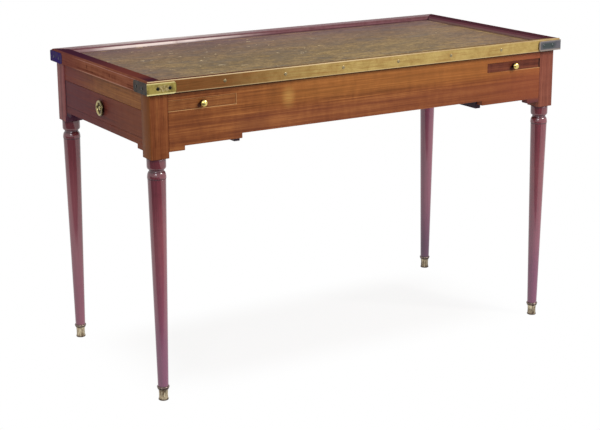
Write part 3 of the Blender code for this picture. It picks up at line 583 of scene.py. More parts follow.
def side_rim_knots_and_painted_light(s, colour):
    """A side rim: knots, painted dark reflection on top, painted light inside, painted edge highlights."""
    x, y, z = s.axes()
    depth = s.minus(TOP_X, s.size(x))
    outside = s.below(depth, SKIN)
    colour = s.tint(colour, s.ease(y, 0.02, 0.24, 0.55), 116, 62, 66)
    knots = 0.0
    for place, height in ((0.055, 0.016), (-0.075, 0.014)):
        from_knot = s.reach(s.offset(y, place, 1.1), s.offset(z, STRIP_LOW.z + height, 0.8))
        knots = s.larger(s.ease(from_knot, 0.005, 0.002, 0.5), knots)
    colour = s.tint(colour, s.times(knots, outside), 66, 30, 24)
    # Painted highlight along the lower outer edge, over part of the length
    lower_edge_highlight = s.times(s.spread(z, 0.0026, 0.0012, at=STRIP_LOW.z), outside)
    rubbed = s.ease(s.gap(y, -0.045), 0.2, 0.1, 0.5)
    colour = s.tint(colour, s.times(lower_edge_highlight, rubbed), 222, 170, 148)

    # Painted dark reflection on the top, redder at the front and purple elsewhere
    level = s.spread(z, -0.0016, -0.0003, at=RIM_TOP)
    top = s.times(s.ease(depth, 0.003, 0.008, 0.25, 0.97), level)
    dark_reflection = s.between(s.ease(y, -0.16, 0.16), (106, 54, 48), (64, 32, 50))
    dark_reflection = s.tint(dark_reflection, s.spread(y, -0.2, -0.25), 64, 30, 44)
    colour = s.mix(top, colour, s.tint(dark_reflection, s.above(x), 70, 38, 48))
    # Painted highlight on the rounded upper outer edge, over part of the length
    upper_edge_highlight = s.times(s.within(z, RIM_TOP - 0.0036, 0.0008), s.below(depth, 0.0022))
    rubbed = s.ease(s.gap(y, -0.06), 0.22, 0.12, 0.5)
    colour = s.tint(colour, s.times(upper_edge_highlight, rubbed), 206, 150, 136)

    # Painted light on the inner face, paler near the leather
    inner = s.times(s.above(depth, SIDE_RIM - 0.003), s.minus(1.0, level))
    low = s.spread(z, 0.006, 0.004, at=LEATHER_HIGH.z)
    return s.mix(s.times(inner, 0.9), colour, s.between(low, (140, 88, 104), (166, 128, 126)))


def front_rim_wear(s, colour):
    """The front rim is dark at its left and worn to the colour of the leather further on."""
    x = s.axes("X")[0]
    return s.tint(colour, s.ease(x, -0.42, -0.12, 0.85), 134, 108, 72)


def back_rim_painted_light(s, colour):
    """Painted reflections on the back rim's left half: grey streaks on top, a near-white band inside."""
    x, y, z = s.axes()
    reflecting_half = s.times(s.ease(x, 0.06, -0.24), s.ease(x, -0.52, -0.4, 0.15, 1.0))
    # Painted reflection: grey streaks on the top of the left half
    level = s.spread(z, -0.001, -0.0003, at=RIM_TOP)
    streaks = s.spread(s.noise((20.0, 260.0, 1.0), rough=0.6), 0.38, 0.62, 0.4, 1.0)
    far = s.spread(y, 0.01, 0.018, 0.5, 1.0, at=LEATHER_HIGH.y)
    colour = s.tint(colour, s.times(reflecting_half, level, streaks, far), 214, 198, 194)
    # Painted reflection: a near-white band on the inner face
    inside = s.below(y, LEATHER_HIGH.y + 0.0026)
    inner_highlight = s.times(s.spread(z, 0.0072, 0.0058, at=LEATHER_HIGH.z), inside)
    patchy = s.spread(s.noise((26.0, 1.0, 1.0), rough=0.6), 0.25, 0.5, 0.6, 1.0)
    colour = s.tint(colour, s.times(inner_highlight, reflecting_half, 0.95, patchy), 250, 236, 230)
    # Painted shade: a dark line at the foot of the inner face
    foot = s.times(s.spread(z, 0.0026, 0.0012, at=LEATHER_HIGH.z), inside)
    return s.tint(colour, s.times(foot, s.spread(x, -0.3, -0.14, 0.15, 0.7)), 76, 46, 52)


# Woods
APRON_WOOD = wood(
    "mahogany_front", "X", (82, 41, 18), (120, 68, 33), (152, 96, 50), (0.3, 0.0, 5.3),
    figure=1.5, contrast=0.95, shade=front_tones_and_painted_shade)
BACK_WOOD = wood("mahogany_back", "X", (86, 44, 20), (122, 70, 34), (148, 94, 48), (2.3, 0.4, 0.1))
# The slides carry painted shadows: under each knob, and at the outer end of a right slide.
SLIDE_WOOD = wood(
    "mahogany_slide", "X", (82, 43, 20), (114, 66, 33), (140, 90, 48), (1.1, 0.2, 3.1),
    shade=knob_painted_shadow)
SLIDE_WOOD_DARK = wood(
    "mahogany_slide_dark", "X", (68, 30, 22), (94, 47, 32), (116, 64, 42), (4.1, 0.9, 2.2),
    shade=slide_end_painted_shadow)
POST_WOOD = wood(
    "mahogany_post", "Z", (76, 36, 18), (108, 59, 34), (136, 84, 48), (0.9, 1.7, 0.2),
    figure=1.6, shine=0.04, contrast=0.65, shade=post_shade)
# This wood's shade hook paints the shadow under the top.
POST_WOOD_RED = wood(
    "mahogany_post_red", "Z", (86, 42, 33), (118, 65, 51), (140, 85, 67), (3.9, 0.7, 1.2),
    figure=1.6, contrast=0.6, shade=under_top_painted_shadow)
POST_WOOD_DARK = wood(
    "mahogany_post_dark", "Z", (110, 60, 60), (142, 84, 82), (162, 106, 100), (2.9, 1.7, 0.2),
    figure=1.3, shine=0.04, shade=back_post_shade)
LEG_WOOD = wood(
    "mahogany_leg", "Z", (90, 36, 43), (114, 50, 60), (132, 65, 71), (0.4, 2.1, 0.9),
    gloss=(0.2, 0.3), coat=1.0, figure=1.2, shine=0.0, contrast=0.6, shade=leg_shade)
END_WOOD = wood(
    "mahogany_end", "Y", (104, 60, 30), (140, 88, 48), (164, 110, 64), (0.2, 0.6, 1.9),
    shine=0.03, shade=end_shade)
DRAWER_WOOD = wood(
    "mahogany_drawer", "Y", (82, 36, 30), (108, 52, 42), (128, 70, 54), (1.2, 0.3, 0.6),
    shine=0.03, shade=drawer_shade)
RIM_SIDE_WOOD = wood(
    "mahogany_rim_side", "Y", (108, 58, 44), (142, 86, 64), (164, 106, 80), (0.8, 0.1, 0.3),
    shine=0.0, shade=side_rim_knots_and_painted_light)
RIM_LONG_WOOD = wood(
    "mahogany_rim_long", "X", (98, 60, 64), (128, 88, 94), (148, 108, 112), (0.1, 0.8, 0.3),
    shine=0.04, shade=back_rim_painted_light)
RIM_FRONT_WOOD = wood(
    "mahogany_rim_front", "X", (70, 36, 30), (94, 54, 42), (116, 76, 56), (0.6, 0.2, 0.3),
    shine=0.0, shade=front_rim_wear)
PARTITION_WOOD = wood(
    "mahogany_partition", "Y", (70, 36, 32), (100, 54, 44), (124, 74, 54), (0.2, 1.9, 0.3),
    shade=partition_shade)
INNER_WOOD = wood("mahogany_inner", "Y", (70, 36, 32), (100, 54, 44), (124, 74, 54), (0.7, 1.3, 0.3))
FLOOR_WOOD = wood("mahogany_floor", "X", (92, 46, 32), (124, 68, 44), (150, 92, 58), (1.7, 0.3, 0.3))
OAK_X = wood("oak_along", "X", (128, 96, 58), (168, 134, 88), (194, 164, 116), (0.3, 0.3, 0.3), (0.5, 0.7))
OAK_Y = wood("oak_across", "Y", (126, 94, 56), (166, 132, 86), (192, 162, 114), (0.5, 0.9, 0.3), (0.5, 0.7))


# How the brass has aged, and the light and shade painted on it
def strip_tarnish_and_painted_light(s, colour):
    """Tarnished; a painted dark reflection browns the left end; rubbed edges carry painted highlights."""
    x, z = s.axes("XZ")
    # Rubbed edges with painted highlights along the bottom and the top
    worn_low = s.spread(z, 0.0024, 0.001, 0.4, at=STRIP_LOW.z)
    worn_high = s.spread(z, -0.0024, -0.001, at=STRIP_HIGH.z)
    worn = s.larger(worn_low, s.times(worn_high, s.spread(x, -0.05, 0.3, 1.0, 0.35)))
    stain = s.noise((9.0, 1.0, 30.0), (0.6, 0.0, 0.2))
    colour = s.tint(colour, s.spread(stain, 0.55, 0.7, 0.35), 150, 108, 62)
    wiped = s.noise((14.0, 1.0, 330.0), (0.1, 0.0, 0.7), 4.0, 0.6)
    colour = s.tint(colour, s.spread(wiped, 0.5, 0.68, 0.5), 132, 92, 48)
    # Painted dark reflection browns the left end
    left = s.times(s.ease(x, -0.46, -0.06, 0.88, 0.0), s.minus(1.0, worn))
    colour = s.mix(left, colour, s.between(s.spread(wiped, 0.4, 0.6), (96, 50, 24), (120, 70, 38)))
    edge = s.between(s.spread(x, 0.34, 0.54), (222, 198, 160), (204, 178, 172))
    colour = s.mix(s.times(worn, 0.75), colour, edge)
    # Painted shadow on the strip beside the end of each bracket
    ends = s.spread(s.size(x), -0.0026, -0.0014, 0.8, at=END_OF_LEAF)
    return s.tint(colour, s.times(ends, s.within(z, BRACKET_MIDDLE, 0.0075)), 62, 44, 18)


def bracket_wear(s, colour):
    """Painted highlights along the edges, stains at the screws, a painted dark reflection on the end leaf.
    """
    x, y, z = s.axes()
    # Painted highlights along the upper and lower edges
    low = s.spread(z, 0.0036, 0.0014, at=BRACKET_LOW.z)
    high = s.spread(z, -0.003, -0.0012, 0.85, at=BRACKET_HIGH.z)
    colour = s.tint(colour, s.times(s.larger(low, high), 0.9), 240, 228, 164)
    from_middle = s.reach(s.offset(s.size(x), LEAF_MIDDLE, 0.42), s.minus(z, BRACKET_MIDDLE))
    spots = s.spread(s.noise(230.0, (0.3, 0.1, 0.6)), 0.44, 0.56)
    stain = s.between(spots, (94, 70, 40), (198, 180, 146))
    colour = s.mix(s.ease(from_middle, 0.0095, 0.005, 0.5), colour, stain)
    # Painted dark reflection on the leaf on the end of the table
    dark = s.spread(y, 0.0004, 0.0022, at=BRACKET_LOW.y)
    patchy = s.spread(s.noise(120.0), 0.4, 0.6)
    return s.mix(dark, colour, s.between(patchy, (24, 16, 10), (52, 36, 22)))


def grey_bracket_wear(s, colour):
    """Dark and greenish at the screws, with painted highlights along the edges and the free end."""
    x, z = s.axes("XZ")
    lengthways = s.ease(s.gap(s.size(x), LEAF_MIDDLE), 0.03, 0.012)
    upright = s.ease(s.gap(z, BRACKET_MIDDLE), 0.0105, 0.004)
    colour = s.tint(colour, s.times(lengthways, upright, 0.8), 58, 70, 68)
    # Painted highlights on the edges and the free end
    low = s.spread(z, 0.0048, 0.0024, at=BRACKET_LOW.z)
    high = s.spread(z, -0.0032, -0.0014, at=BRACKET_HIGH.z)
    free_end = s.spread(s.size(x), 0.005, 0.002, at=END_OF_LEAF)
    return s.tint(colour, s.times(s.larger(low, high, free_end), 0.7), 160, 146, 132)


def blue_leaf(s, colour):
    """The leaf on the end of the table has gone a deep blue."""
    y = s.axes("Y")[0]
    back = s.spread(y, -0.0048, -0.003, at=-BRACKET_LOW.y)
    bloom = s.spread(s.noise(90.0), 0.4, 0.6)
    return s.mix(back, s.between(bloom, (62, 46, 110), (76, 64, 100)), grey_bracket_wear(s, colour))


def sabot_tones_and_painted_light(s, colour):
    """Painted reflections in upright streaks, a grey ring, darker hollows, painted shade at the back right.
    """
    x, y, z = s.axes()
    # Painted highlights and dark reflections in upright streaks
    streaks = s.noise((230.0, 230.0, 46.0), (0.2, 0.5, 0.3))
    colour = s.tint(colour, s.spread(streaks, 0.52, 0.64, 0.75), 228, 214, 182)
    colour = s.tint(colour, s.spread(streaks, 0.46, 0.36, 0.6), 92, 66, 42)
    # Painted shade on the sabot of the back right leg
    back_right = s.times(s.above(x), s.above(y))
    colour = s.tint(colour, s.times(back_right, 0.4), 58, 44, 40)
    colour = s.tint(colour, s.spread(z, -0.0052, -0.0044, 0.7, at=SABOT_TOP), 104, 88, 88)
    # Darker in the groove under the ring and at the foot
    groove = s.spread(s.gap(z, SABOT_TOP - 0.006), 0.0026, 0.001)
    foot = s.spread(z, 0.005, 0.002)
    return s.tint(colour, s.times(s.larger(groove, foot), 0.75), 50, 38, 40)


def screw_tone(s, colour):
    """The screws of the strip are bright, those of the corners as dark as their brackets."""
    x, y = s.axes("XY")
    left = s.below(x)
    tone = s.between(left, (80, 86, 86), (20, 18, 62))
    tone = s.tint(tone, s.times(left, s.below(y)), 40, 42, 38)
    return s.mix(s.above(s.size(x), END_OF_LEAF), colour, tone)


def dark_base(s, colour):
    """The ball stays bright; tarnish and painted shadow turn the knob's base black."""
    y = s.axes("Y")[0]
    return s.tint(colour, s.spread(s.size(y), 0.0066, 0.005, at=SLIDE_FACE), 38, 22, 16)


def dark_hollow(s, colour):
    """Tarnish and painted shade darken the hollow, the part behind the disc and its rim's front half."""
    x, y, z = s.axes()
    colour = s.tint(colour, s.spread(s.size(x), -0.0014, -0.0034, at=DISC_FACE), 72, 58, 34)
    from_middle = s.reach(y, s.minus(z, (DRAWER_LOW.z + DRAWER_HIGH.z) / 2))
    # Painted shade, with tarnish, on the front half of the rim
    rim = s.times(s.spread(from_middle, 0.0158, 0.0174), s.ease(y, 0.0, -0.01, 0.85))
    return s.tint(colour, rim, 48, 34, 22)


# Brasses
GREY, DARK_GREY = (122, 116, 120), (84, 84, 92)
STRIP_BRASS = brass(
    "brass_strip", (183, 159, 100), (158, 133, 80), (0.36, 0.64), (0.5, 0.64), strip_tarnish_and_painted_light)
CORNER_BRASS = brass("brass_corner", (168, 151, 83), (84, 72, 38), (0.42, 0.62), (0.36, 0.52), bracket_wear)
CORNER_DARK = brass("brass_corner_grey", GREY, DARK_GREY, (0.35, 0.65), (0.34, 0.5), grey_bracket_wear)
CORNER_BLUE = brass(
    "brass_corner_blue", GREY, DARK_GREY, (0.35, 0.65), (0.34, 0.5), blue_leaf, oxidised=True)
KNOB_BRASS = brass("brass_knob", (226, 206, 126), (140, 112, 56), (0.45, 0.78), (0.14, 0.26), dark_base)
DISC_BRASS = brass("brass_disc", (190, 176, 124), (96, 80, 48), (0.4, 0.72), (0.2, 0.34), dark_hollow)
SABOT_BRASS = brass("brass_sabot", (180, 164, 136), (70, 58, 52), (0.4, 0.62), (0.24, 0.42), sabot_tones_and_painted_light)
SCREW_BRASS = brass("brass_screw", (166, 150, 116), (98, 82, 54), (0.45, 0.75), (0.2, 0.34), screw_tone)


# Leather, baize and inlay
def leather():
    """Worn olive hide: cloudy colour, rubbed streaks, pale scuffs, fine grain and two tooled lines."""
    s = Surface("leather_worn")
    x, y = s.axes("XY")
    clouds = s.noise((4.0, 6.0, 1.0), detail=5.0, rough=0.6, warp=0.6)
    streaks = s.noise((12.0, 42.0, 1.0), (0.4, 0.9, 0.0), 5.0, 0.62, 0.6)
    fibres = s.noise((50.0, 72.0, 1.0), (1.4, 0.2, 0.0), 4.0, 0.65)
    grain = s.noise(900.0, detail=2.0)
    mottle = s.noise((150.0, 180.0, 1.0), (0.7, 1.2, 0.0), 4.0, 0.7, 0.3)
    scuffs = s.noise((34.0, 58.0, 1.0), (2.2, 0.3, 0.0), 4.0, 0.62, 0.8)
    tone = s.spread(s.total((clouds, 0.2), (streaks, 0.28), (fibres, 0.24), (mottle, 0.28)), 0.42, 0.58)
    colour = s.ramp(tone, (84, 66, 38), (121, 97, 58), (158, 132, 84))
    greyer_ends = s.larger(s.ease(x, -0.36, -0.54, 0.5), s.ease(x, 0.2, 0.5, 0.42))
    greyer = s.larger(s.ease(y, -0.12, 0.2, 0.66), greyer_ends)
    colour = s.mix(greyer, colour, s.between(tone, (84, 56, 54), (122, 88, 78)))
    # Painted reflection: the far part of the leather turns purple-grey
    far = s.ease(y, 0.13, 0.235, 0.6)
    colour = s.mix(far, colour, s.between(tone, (78, 54, 64), (118, 88, 98)))
    rubbed = s.times(s.spread(scuffs, 0.655, 0.7), s.spread(x, 0.25, -0.1, 0.35, 1.0))
    colour = s.tint(colour, rubbed, 222, 202, 158)
    middle_y = (LEATHER_LOW.y + LEATHER_HIGH.y) / 2
    from_end = s.minus(LEATHER_HIGH.x, s.size(x))
    from_side = s.minus(LEATHER_HIGH.y - middle_y, s.gap(y, middle_y))
    from_edge = s.smaller(from_end, from_side)
    lines = s.larger(s.within(from_edge, 0.017, 0.0011), s.within(from_edge, 0.0215, 0.0005))
    tooling = s.times(lines, s.spread(streaks, 0.36, 0.6, 0.1, 0.7))
    colour = s.tint(colour, tooling, 206, 178, 112)
    s.set(Base_Color=colour, Roughness=s.spread(streaks, 0.3, 0.7, 0.46, 0.66), Specular_IOR_Level=0.1)
    s.bump(s.total((grain, 1.0), (tooling, -2.0), (scuffs, 1.5)), 0.22, 0.0004)
    return s.material


def baize():
    """Felted green wool."""
    s = Surface("baize_green")
    fuzz = s.noise(700.0, detail=4.0, rough=0.7)
    faded = s.noise(5.0)
    tone = s.spread(s.total((faded, 0.5), (fuzz, 0.5)), 0.35, 0.65)
    s.set(Base_Color=s.ramp(tone, (38, 66, 46), (70, 104, 74)), Roughness=0.95, Sheen_Weight=0.3)
    s.bump(fuzz, 0.4, 0.0006)
    return s.material


def plain_inlay(name, dark, light):
    """Bone or stained wood for the inlay: nearly even, with a fine figure."""
    s = Surface(name)
    figure = s.noise((60.0, 12.0, 60.0), detail=4.0, rough=0.6, warp=0.3)
    s.set(Base_Color=s.ramp(s.spread(figure, 0.35, 0.65), dark, light))
    s.set(Roughness=s.spread(figure, 0.3, 0.7, 0.3, 0.44))
    return s.material


LEATHER = leather()
BAIZE = baize()
BONE = plain_inlay("inlay_bone", (196, 178, 140), (226, 212, 180))
EBONY = plain_inlay("inlay_green_black", (26, 30, 26), (48, 52, 44))


# Legs, with their posts and sabots
def leg_profile():
    """The turning under the post, rounder than the solid: drum, neck, bell, quirk and tapering shaft."""
    drum, neck, bell, quirk, shaft, ankle, spigot = 0.0217, 0.017, 0.0216, 0.0199, 0.0208, 0.0123, 0.008
    top = POST_BOTTOM
    drum_foot, neck_foot = top - 0.025, top - 0.03
    bell_foot = neck_foot - 0.015
    quirk_foot = bell_foot - 0.0016
    shaft_top, shaft_foot = quirk_foot - 0.0008, SABOT_TOP + 0.0003
    spigot_foot = shaft_foot - 0.02
    profile = [(0.0, top + 0.0004), (0.0193, top + 0.0004), (0.0193, top - 0.0006), (0.0213, top - 0.0006)]
    profile += arc((drum - 0.0005, top - 0.0011), 0.0005, 0.0005, 90, 0, 4)
    profile += arc((neck, drum_foot + 0.0065), drum - neck, 0.0065, 0, -90, 14)
    profile += [(neck, neck_foot + 0.0004)]
    profile += arc((neck, bell_foot), bell - neck, neck_foot - bell_foot, 86, 0, 18)
    profile += [(bell - 0.0003, bell_foot - 0.0004)]
    profile += [(quirk, bell_foot - 0.0006), (quirk, quirk_foot + 0.0002)]
    profile += arc((shaft - 0.0004, quirk_foot - 0.0003), 0.0004, 0.0004, 90, 0, 3)
    steps = 24
    for i in range(steps + 1):
        share = i / steps
        profile.append((shaft + (ankle - shaft) * share, shaft_top + (shaft_foot - shaft_top) * share))
    return profile + [(spigot, shaft_foot), (spigot, spigot_foot), (0.0, spigot_foot)]


def sabot_profile():
    """Ring, hollow and foot of a cast brass sabot, with a thin bead under the ring."""
    top = SABOT_TOP
    profile = [(0.0, 0.012), (0.0083, 0.012), (0.0083, top), (0.0122, top)]
    profile += arc((0.0124, top - 0.0026), 0.0021, 0.0026, 85, -80, 14)
    profile += [(0.0126, top - 0.0056)]
    profile += arc((0.0122, top - 0.0066), 0.001, 0.0009, 70, -80, 8)
    profile += arc((0.0121, 0.013), 0.0016, 0.013, 98, 238, 22)
    profile += arc((0.0108, 0.0022), 0.001, 0.0012, 60, 0, 5)
    return profile + [(0.0118, 0.0018), (0.0118, 0.0005), (0.0113, 0.0), (0.0, 0.0)]


def leg(where, side, face):
    """A post with the stub that locates the top; the turning below it is added after."""
    node = "leg_" + where
    low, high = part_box(node)
    bm = bmesh.new()
    soft_block(bm, (low.x, low.y, POST_BOTTOM), (high.x, high.y, CASE_TOP), 0.001, 3)
    stub_x = sorted((side * (LEG_X - POST / 2 + 0.001), side * (LEATHER_HIGH.x - 0.0002)))
    edge_y = LEATHER_LOW.y if face < 0 else LEATHER_HIGH.y
    stub_y = sorted((face * (LEG_Y - POST / 2 + 0.001), edge_y - face * 0.0002))
    soft_block(bm, (stub_x[0], stub_y[0], CASE_TOP - 0.002), (stub_x[1], stub_y[1], high.z), 0.0008, 2)
    woods = {"front_left": POST_WOOD, "front_right": POST_WOOD_RED}
    finished(node + "_post", bm, woods.get(where, POST_WOOD_DARK), "case", node)


for where, side, face in CORNERS:
    leg(where, side, face)
    axis = Matrix.Translation((side * LEG_X, face * LEG_Y, 0.0))
    turned("leg_" + where + "_turning", leg_profile(), axis, LEG_WOOD, "case")
    turned("sabot_cup_" + where, sabot_profile(), axis, SABOT_BRASS, "case", "sabot_" + where)


# Case boards
board("front_apron", APRON_WOOD, "case")
board("back_apron", BACK_WOOD, "case")
for side_name in SIDES:
    board("end_top_rail_" + side_name, END_WOOD, "case")
    board("end_bottom_rail_" + side_name, DRAWER_WOOD, "case", width=0.0004)
    board("partition_" + side_name, PARTITION_WOOD, "case")
    board("end_deck_" + side_name, INNER_WOOD, "case")
    board("slide_bearer_" + side_name, OAK_Y, "case", width=0.0005, steps=1)
    board("slide_stop_" + side_name, OAK_X, "case", width=0.0006, steps=1)
    for face_name in FACES:
        board("drawer_runner_" + face_name + "_" + side_name, OAK_X, "case", width=0.0006, steps=1)
board("well_floor", FLOOR_WOOD, "case", width=0.0002, steps=1)
board("centre_bar", INNER_WOOD, "case", width=0.0015, steps=3)


# Candle slides and their knobs
def slide_knob_profile():
    """A flattened ball with a thin edge, on a waisted neck and a small base."""
    profile = arc((0.0, 0.0098), 0.0079, 0.0047, 90, 4, 16)
    profile += arc((0.0073, 0.0094), 0.0009, 0.0011, 30, -60, 6)
    profile += arc((0.0032, 0.0089), 0.0041, 0.0038, -20, -86, 8)
    profile += [(0.0031, 0.0042)]
    profile += arc((0.005, 0.0036), 0.0019, 0.0016, 180, 262, 6)
    profile += arc((0.0062, 0.0012), 0.0006, 0.0008, 80, -60, 5)
    return profile + [(0.0062, 0.0003), (0.0019, 0.0003), (0.0019, -0.0095), (0.0, -0.0095)]


for where, side, face in CORNERS:
    low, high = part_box("candle_slide_" + where)
    slide_wood = SLIDE_WOOD if side < 0 else SLIDE_WOOD_DARK
    board("candle_slide_" + where, slide_wood, "slide_" + where, width=0.0007)
    seat = Vector(((low.x + high.x) / 2, low.y if face < 0 else high.y, (low.z + high.z) / 2))
    turn = Matrix.Translation(seat) @ Matrix.Rotation(-face * math.pi / 2, 4, "X")
    turned("slide_knob_turned_" + where, slide_knob_profile(), turn, KNOB_BRASS, "slide_" + where,
           "slide_knob_" + where, steps=40)


# End drawers and their knobs
def drawer_knob_profile():
    """A dished disc close to the wood: boss, hollow, thick raised rim, short neck and base."""
    profile = arc((0.0, 0.0044), 0.0058, 0.0034, 90, 12, 10)
    profile += [(0.0066, 0.0041), (0.009, 0.004), (0.0118, 0.0046)]
    profile += arc((0.0159, 0.0055), 0.003, 0.0029, 165, -70, 18)
    profile += [(0.0066, 0.0026), (0.0064, 0.0018)]
    profile += arc((0.009, 0.001), 0.0006, 0.0006, 90, -60, 5)
    return profile + [(0.009, 0.0003), (0.0031, 0.0003), (0.0031, -0.0115), (0.0, -0.0115)]


for side_name, side in SIDES.items():
    name = "drawer_" + side_name
    board(name + "_front", DRAWER_WOOD, name, width=0.0005)
    for face_name in FACES:
        board(name + "_side_" + face_name, OAK_X, name, width=0.0004, steps=1)
    board(name + "_back", OAK_Y, name, width=0.0005, steps=1)
    board(name + "_bottom", OAK_Y, name, width=0.0003, steps=1)
    low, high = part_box(name + "_front")
    seat = Vector((low.x if side < 0 else high.x, 0.0, (low.z + high.z) / 2))
    turn = Matrix.Translation(seat) @ Matrix.Rotation(side * math.pi / 2, 4, "Y")
    turned(name + "_knob_turned", drawer_knob_profile(), turn, DISC_BRASS, name, name + "_knob", steps=56)


# The lift-off top
RIMS = {"front": RIM_FRONT_WOOD, "back": RIM_LONG_WOOD, "left": RIM_SIDE_WOOD, "right": RIM_SIDE_WOOD}
BRACKETS = {"front_left": CORNER_BRASS, "front_right": CORNER_DARK, "back_left": CORNER_BLUE,
            "back_right": CORNER_DARK}
for where, rim_wood in RIMS.items():
    board("rim_" + where, rim_wood, "top", width=0.0005)
board("top_panel", OAK_X, "top", width=0.0005, steps=1)
board("brass_edge_strip", STRIP_BRASS, "top", width=0.0005)
for where, bracket_brass in BRACKETS.items():
    board("corner_bracket_" + where, bracket_brass, "top", width=0.0005)


def lining(name, node, material, swell):
    """A thin sheet glued to the panel: gently uneven, with its cut edges turned down."""
    low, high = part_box(node)
    face_z, back_z = (high.z, low.z) if swell > 0 else (low.z, high.z)
    columns, rows = 90, 42
    bm = bmesh.new()
    upper, lower = [], []
    for row in range(rows + 1):
        for column in range(columns + 1):
            x = low.x + (high.x - low.x) * column / columns
            y = low.y + (high.y - low.y) * row / rows
            rise = math.sin(17.0 * x + 3.0 * math.sin(9.0 * y))
            rise *= math.cos(23.0 * y + 2.0 * math.sin(7.0 * x))
            border = row in (0, rows) or column in (0, columns)
            lift = -swell if border else swell * 0.5 * (rise - 1.0)
            upper.append(bm.verts.new((x, y, face_z + lift)))
            lower.append(bm.verts.new((x, y, back_z)))
    wide = columns + 1
    for row in range(rows):
        for column in range(columns):
            a = row * wide + column
            bm.faces.new((upper[a], upper[a + 1], upper[a + wide + 1], upper[a + wide]))
            bm.faces.new((lower[a], lower[a + wide], lower[a + wide + 1], lower[a + 1]))
    rim = list(range(wide)) + [r * wide + columns for r in range(1, rows + 1)]
    rim += [rows * wide + c for c in range(columns - 1, -1, -1)]
    rim += [r * wide for r in range(rows - 1, 0, -1)]
    for a, b in zip(rim, rim[1:] + rim[:1]):
        bm.faces.new((upper[a], lower[a], lower[b], upper[b]))
    made = finished(name, bm, material, "top", node, smooth=60.0)


lining("leather_sheet", "leather_lining", LEATHER, 0.0003)
lining("baize_sheet", "baize_lining", BAIZE, -0.0002)


# Slotted screws in the strip and the brackets
def screw_place(seat, axis, sign, angle):
    """A screw's matrix, from its seat on the brass, the way its head faces, and its slot's angle."""
    facing = Matrix.Rotation(sign * math.pi / 2, 4, axis)
    return Matrix.Translation(seat) @ facing @ Matrix.Rotation(math.radians(angle), 4, "Z")


def screw_places():
    """The matrices of all the screws, whose slots follow no order."""
    far_x = -BRACKET_LOW.x
    places = []
    angle = 20.0
    for side in SIDES.values():
        for face_name, face in FACES.items():
            low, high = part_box("corner_bracket_" + face_name + "_left")
            far_y = max(-low.y, high.y)
            for reach in SCREW_REACHES:
                angle += 47.0
                seat = (side * (far_x - reach), face * far_y, BRACKET_MIDDLE)
                places.append(screw_place(seat, "X", -face, angle))
                seat = (side * far_x, face * (far_y - reach), BRACKET_MIDDLE)
                places.append(screw_place(seat, "Y", side, angle + 31.0))
    for number in range(STRIP_SCREWS):
        angle += 53.0
        along_strip = (number - (STRIP_SCREWS - 1) / 2) * STRIP_PITCH
        seat = (along_strip, STRIP_LOW.y, (STRIP_LOW.z + STRIP_HIGH.z) / 2)
        places.append(screw_place(seat, "X", 1, angle))
    return places


def edge_screws():
    """All the screws as one piece: domed, slotted heads, and shanks that run into the wood."""
    profile = arc((0.0, 0.0001), 0.004, 0.0007, 90, 6, 9)
    profile += [(0.004, 0.00005), (0.0026, 0.00005), (0.0026, -0.002), (0.0018, -0.0026)]
    profile += [(0.0018, -0.008), (0.0, -0.0086)]
    screws_bm, slots_bm = bmesh.new(), bmesh.new()
    for place in screw_places():
        lathe(screws_bm, profile, place, 24)
        slot = block(slots_bm, (-0.004, -0.0003, -0.0008), (0.004, 0.0003, 0.002))
        bmesh.ops.transform(slots_bm, matrix=place, verts=slot)
    screws = finished("edge_screws", screws_bm, SCREW_BRASS, "top", smooth=40.0)
    mesh = bpy.data.meshes.new("screw_slots")
    slots_bm.to_mesh(mesh)
    slots_bm.free()
    cutter = bpy.data.objects.new("screw_slots", mesh)
    SCENE.collection.objects.link(cutter)
    cut = screws.modifiers.new("slots", "BOOLEAN")
    cut.operation = "DIFFERENCE"
    cut.solver = "EXACT"
    cut.object = cutter
    apply_modifiers(screws)
    bpy.data.objects.remove(cutter, do_unlink=True)


edge_screws()


# The board of the game: inlaid points, and bone rings round the peg holes
def game_board():
    foot = WELL_SIDE - POINT_MARGIN
    tip = foot - POINT_LENGTH
    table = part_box("partition_right")[0].x - BAR_SIDE
    pitch = table / TABLE_POINTS
    half = (pitch - POINT_GAP) / 2
    hidden, top = CASE_TOP - 0.0002, CASE_TOP + 0.00015
    ring = [(0.0016, hidden), (0.0016, top), (0.0034, top), (0.0037, CASE_TOP + 0.00005), (0.0037, hidden),
            (0.0016, hidden)]
    light_points, dark_points, rings = bmesh.new(), bmesh.new(), bmesh.new()
    for side in SIDES.values():
        for number in range(TABLE_POINTS):
            middle = side * (BAR_SIDE + pitch * (number + 0.5))
            for face in FACES.values():
                light = (number % 2 == 0) == (side * face > 0)
                bm = light_points if light else dark_points
                corners = [(middle - half, face * foot), (middle + half, face * foot), (middle, face * tip)]
                bottom = bm.faces.new([bm.verts.new((x, y, WELL_FLOOR + 0.00005)) for x, y in corners])
                made = bmesh.ops.extrude_face_region(bm, geom=[bottom])["geom"]
                lifted = [v for v in made if isinstance(v, bmesh.types.BMVert)]
                bmesh.ops.translate(bm, vec=(0.0, 0.0, 0.0003), verts=lifted)
                hole = (middle, face * (WELL_SIDE + PEG_HOLE_MARGIN), 0.0)
                lathe(rings, ring, Matrix.Translation(hole), 24)
    finished("points_light", light_points, BONE, "case")
    finished("points_dark", dark_points, EBONY, "case")
    bmesh.ops.remove_doubles(rings, verts=rings.verts, dist=0.000005)
    finished("peg_hole_rings", rings, BONE, "case")


game_board()


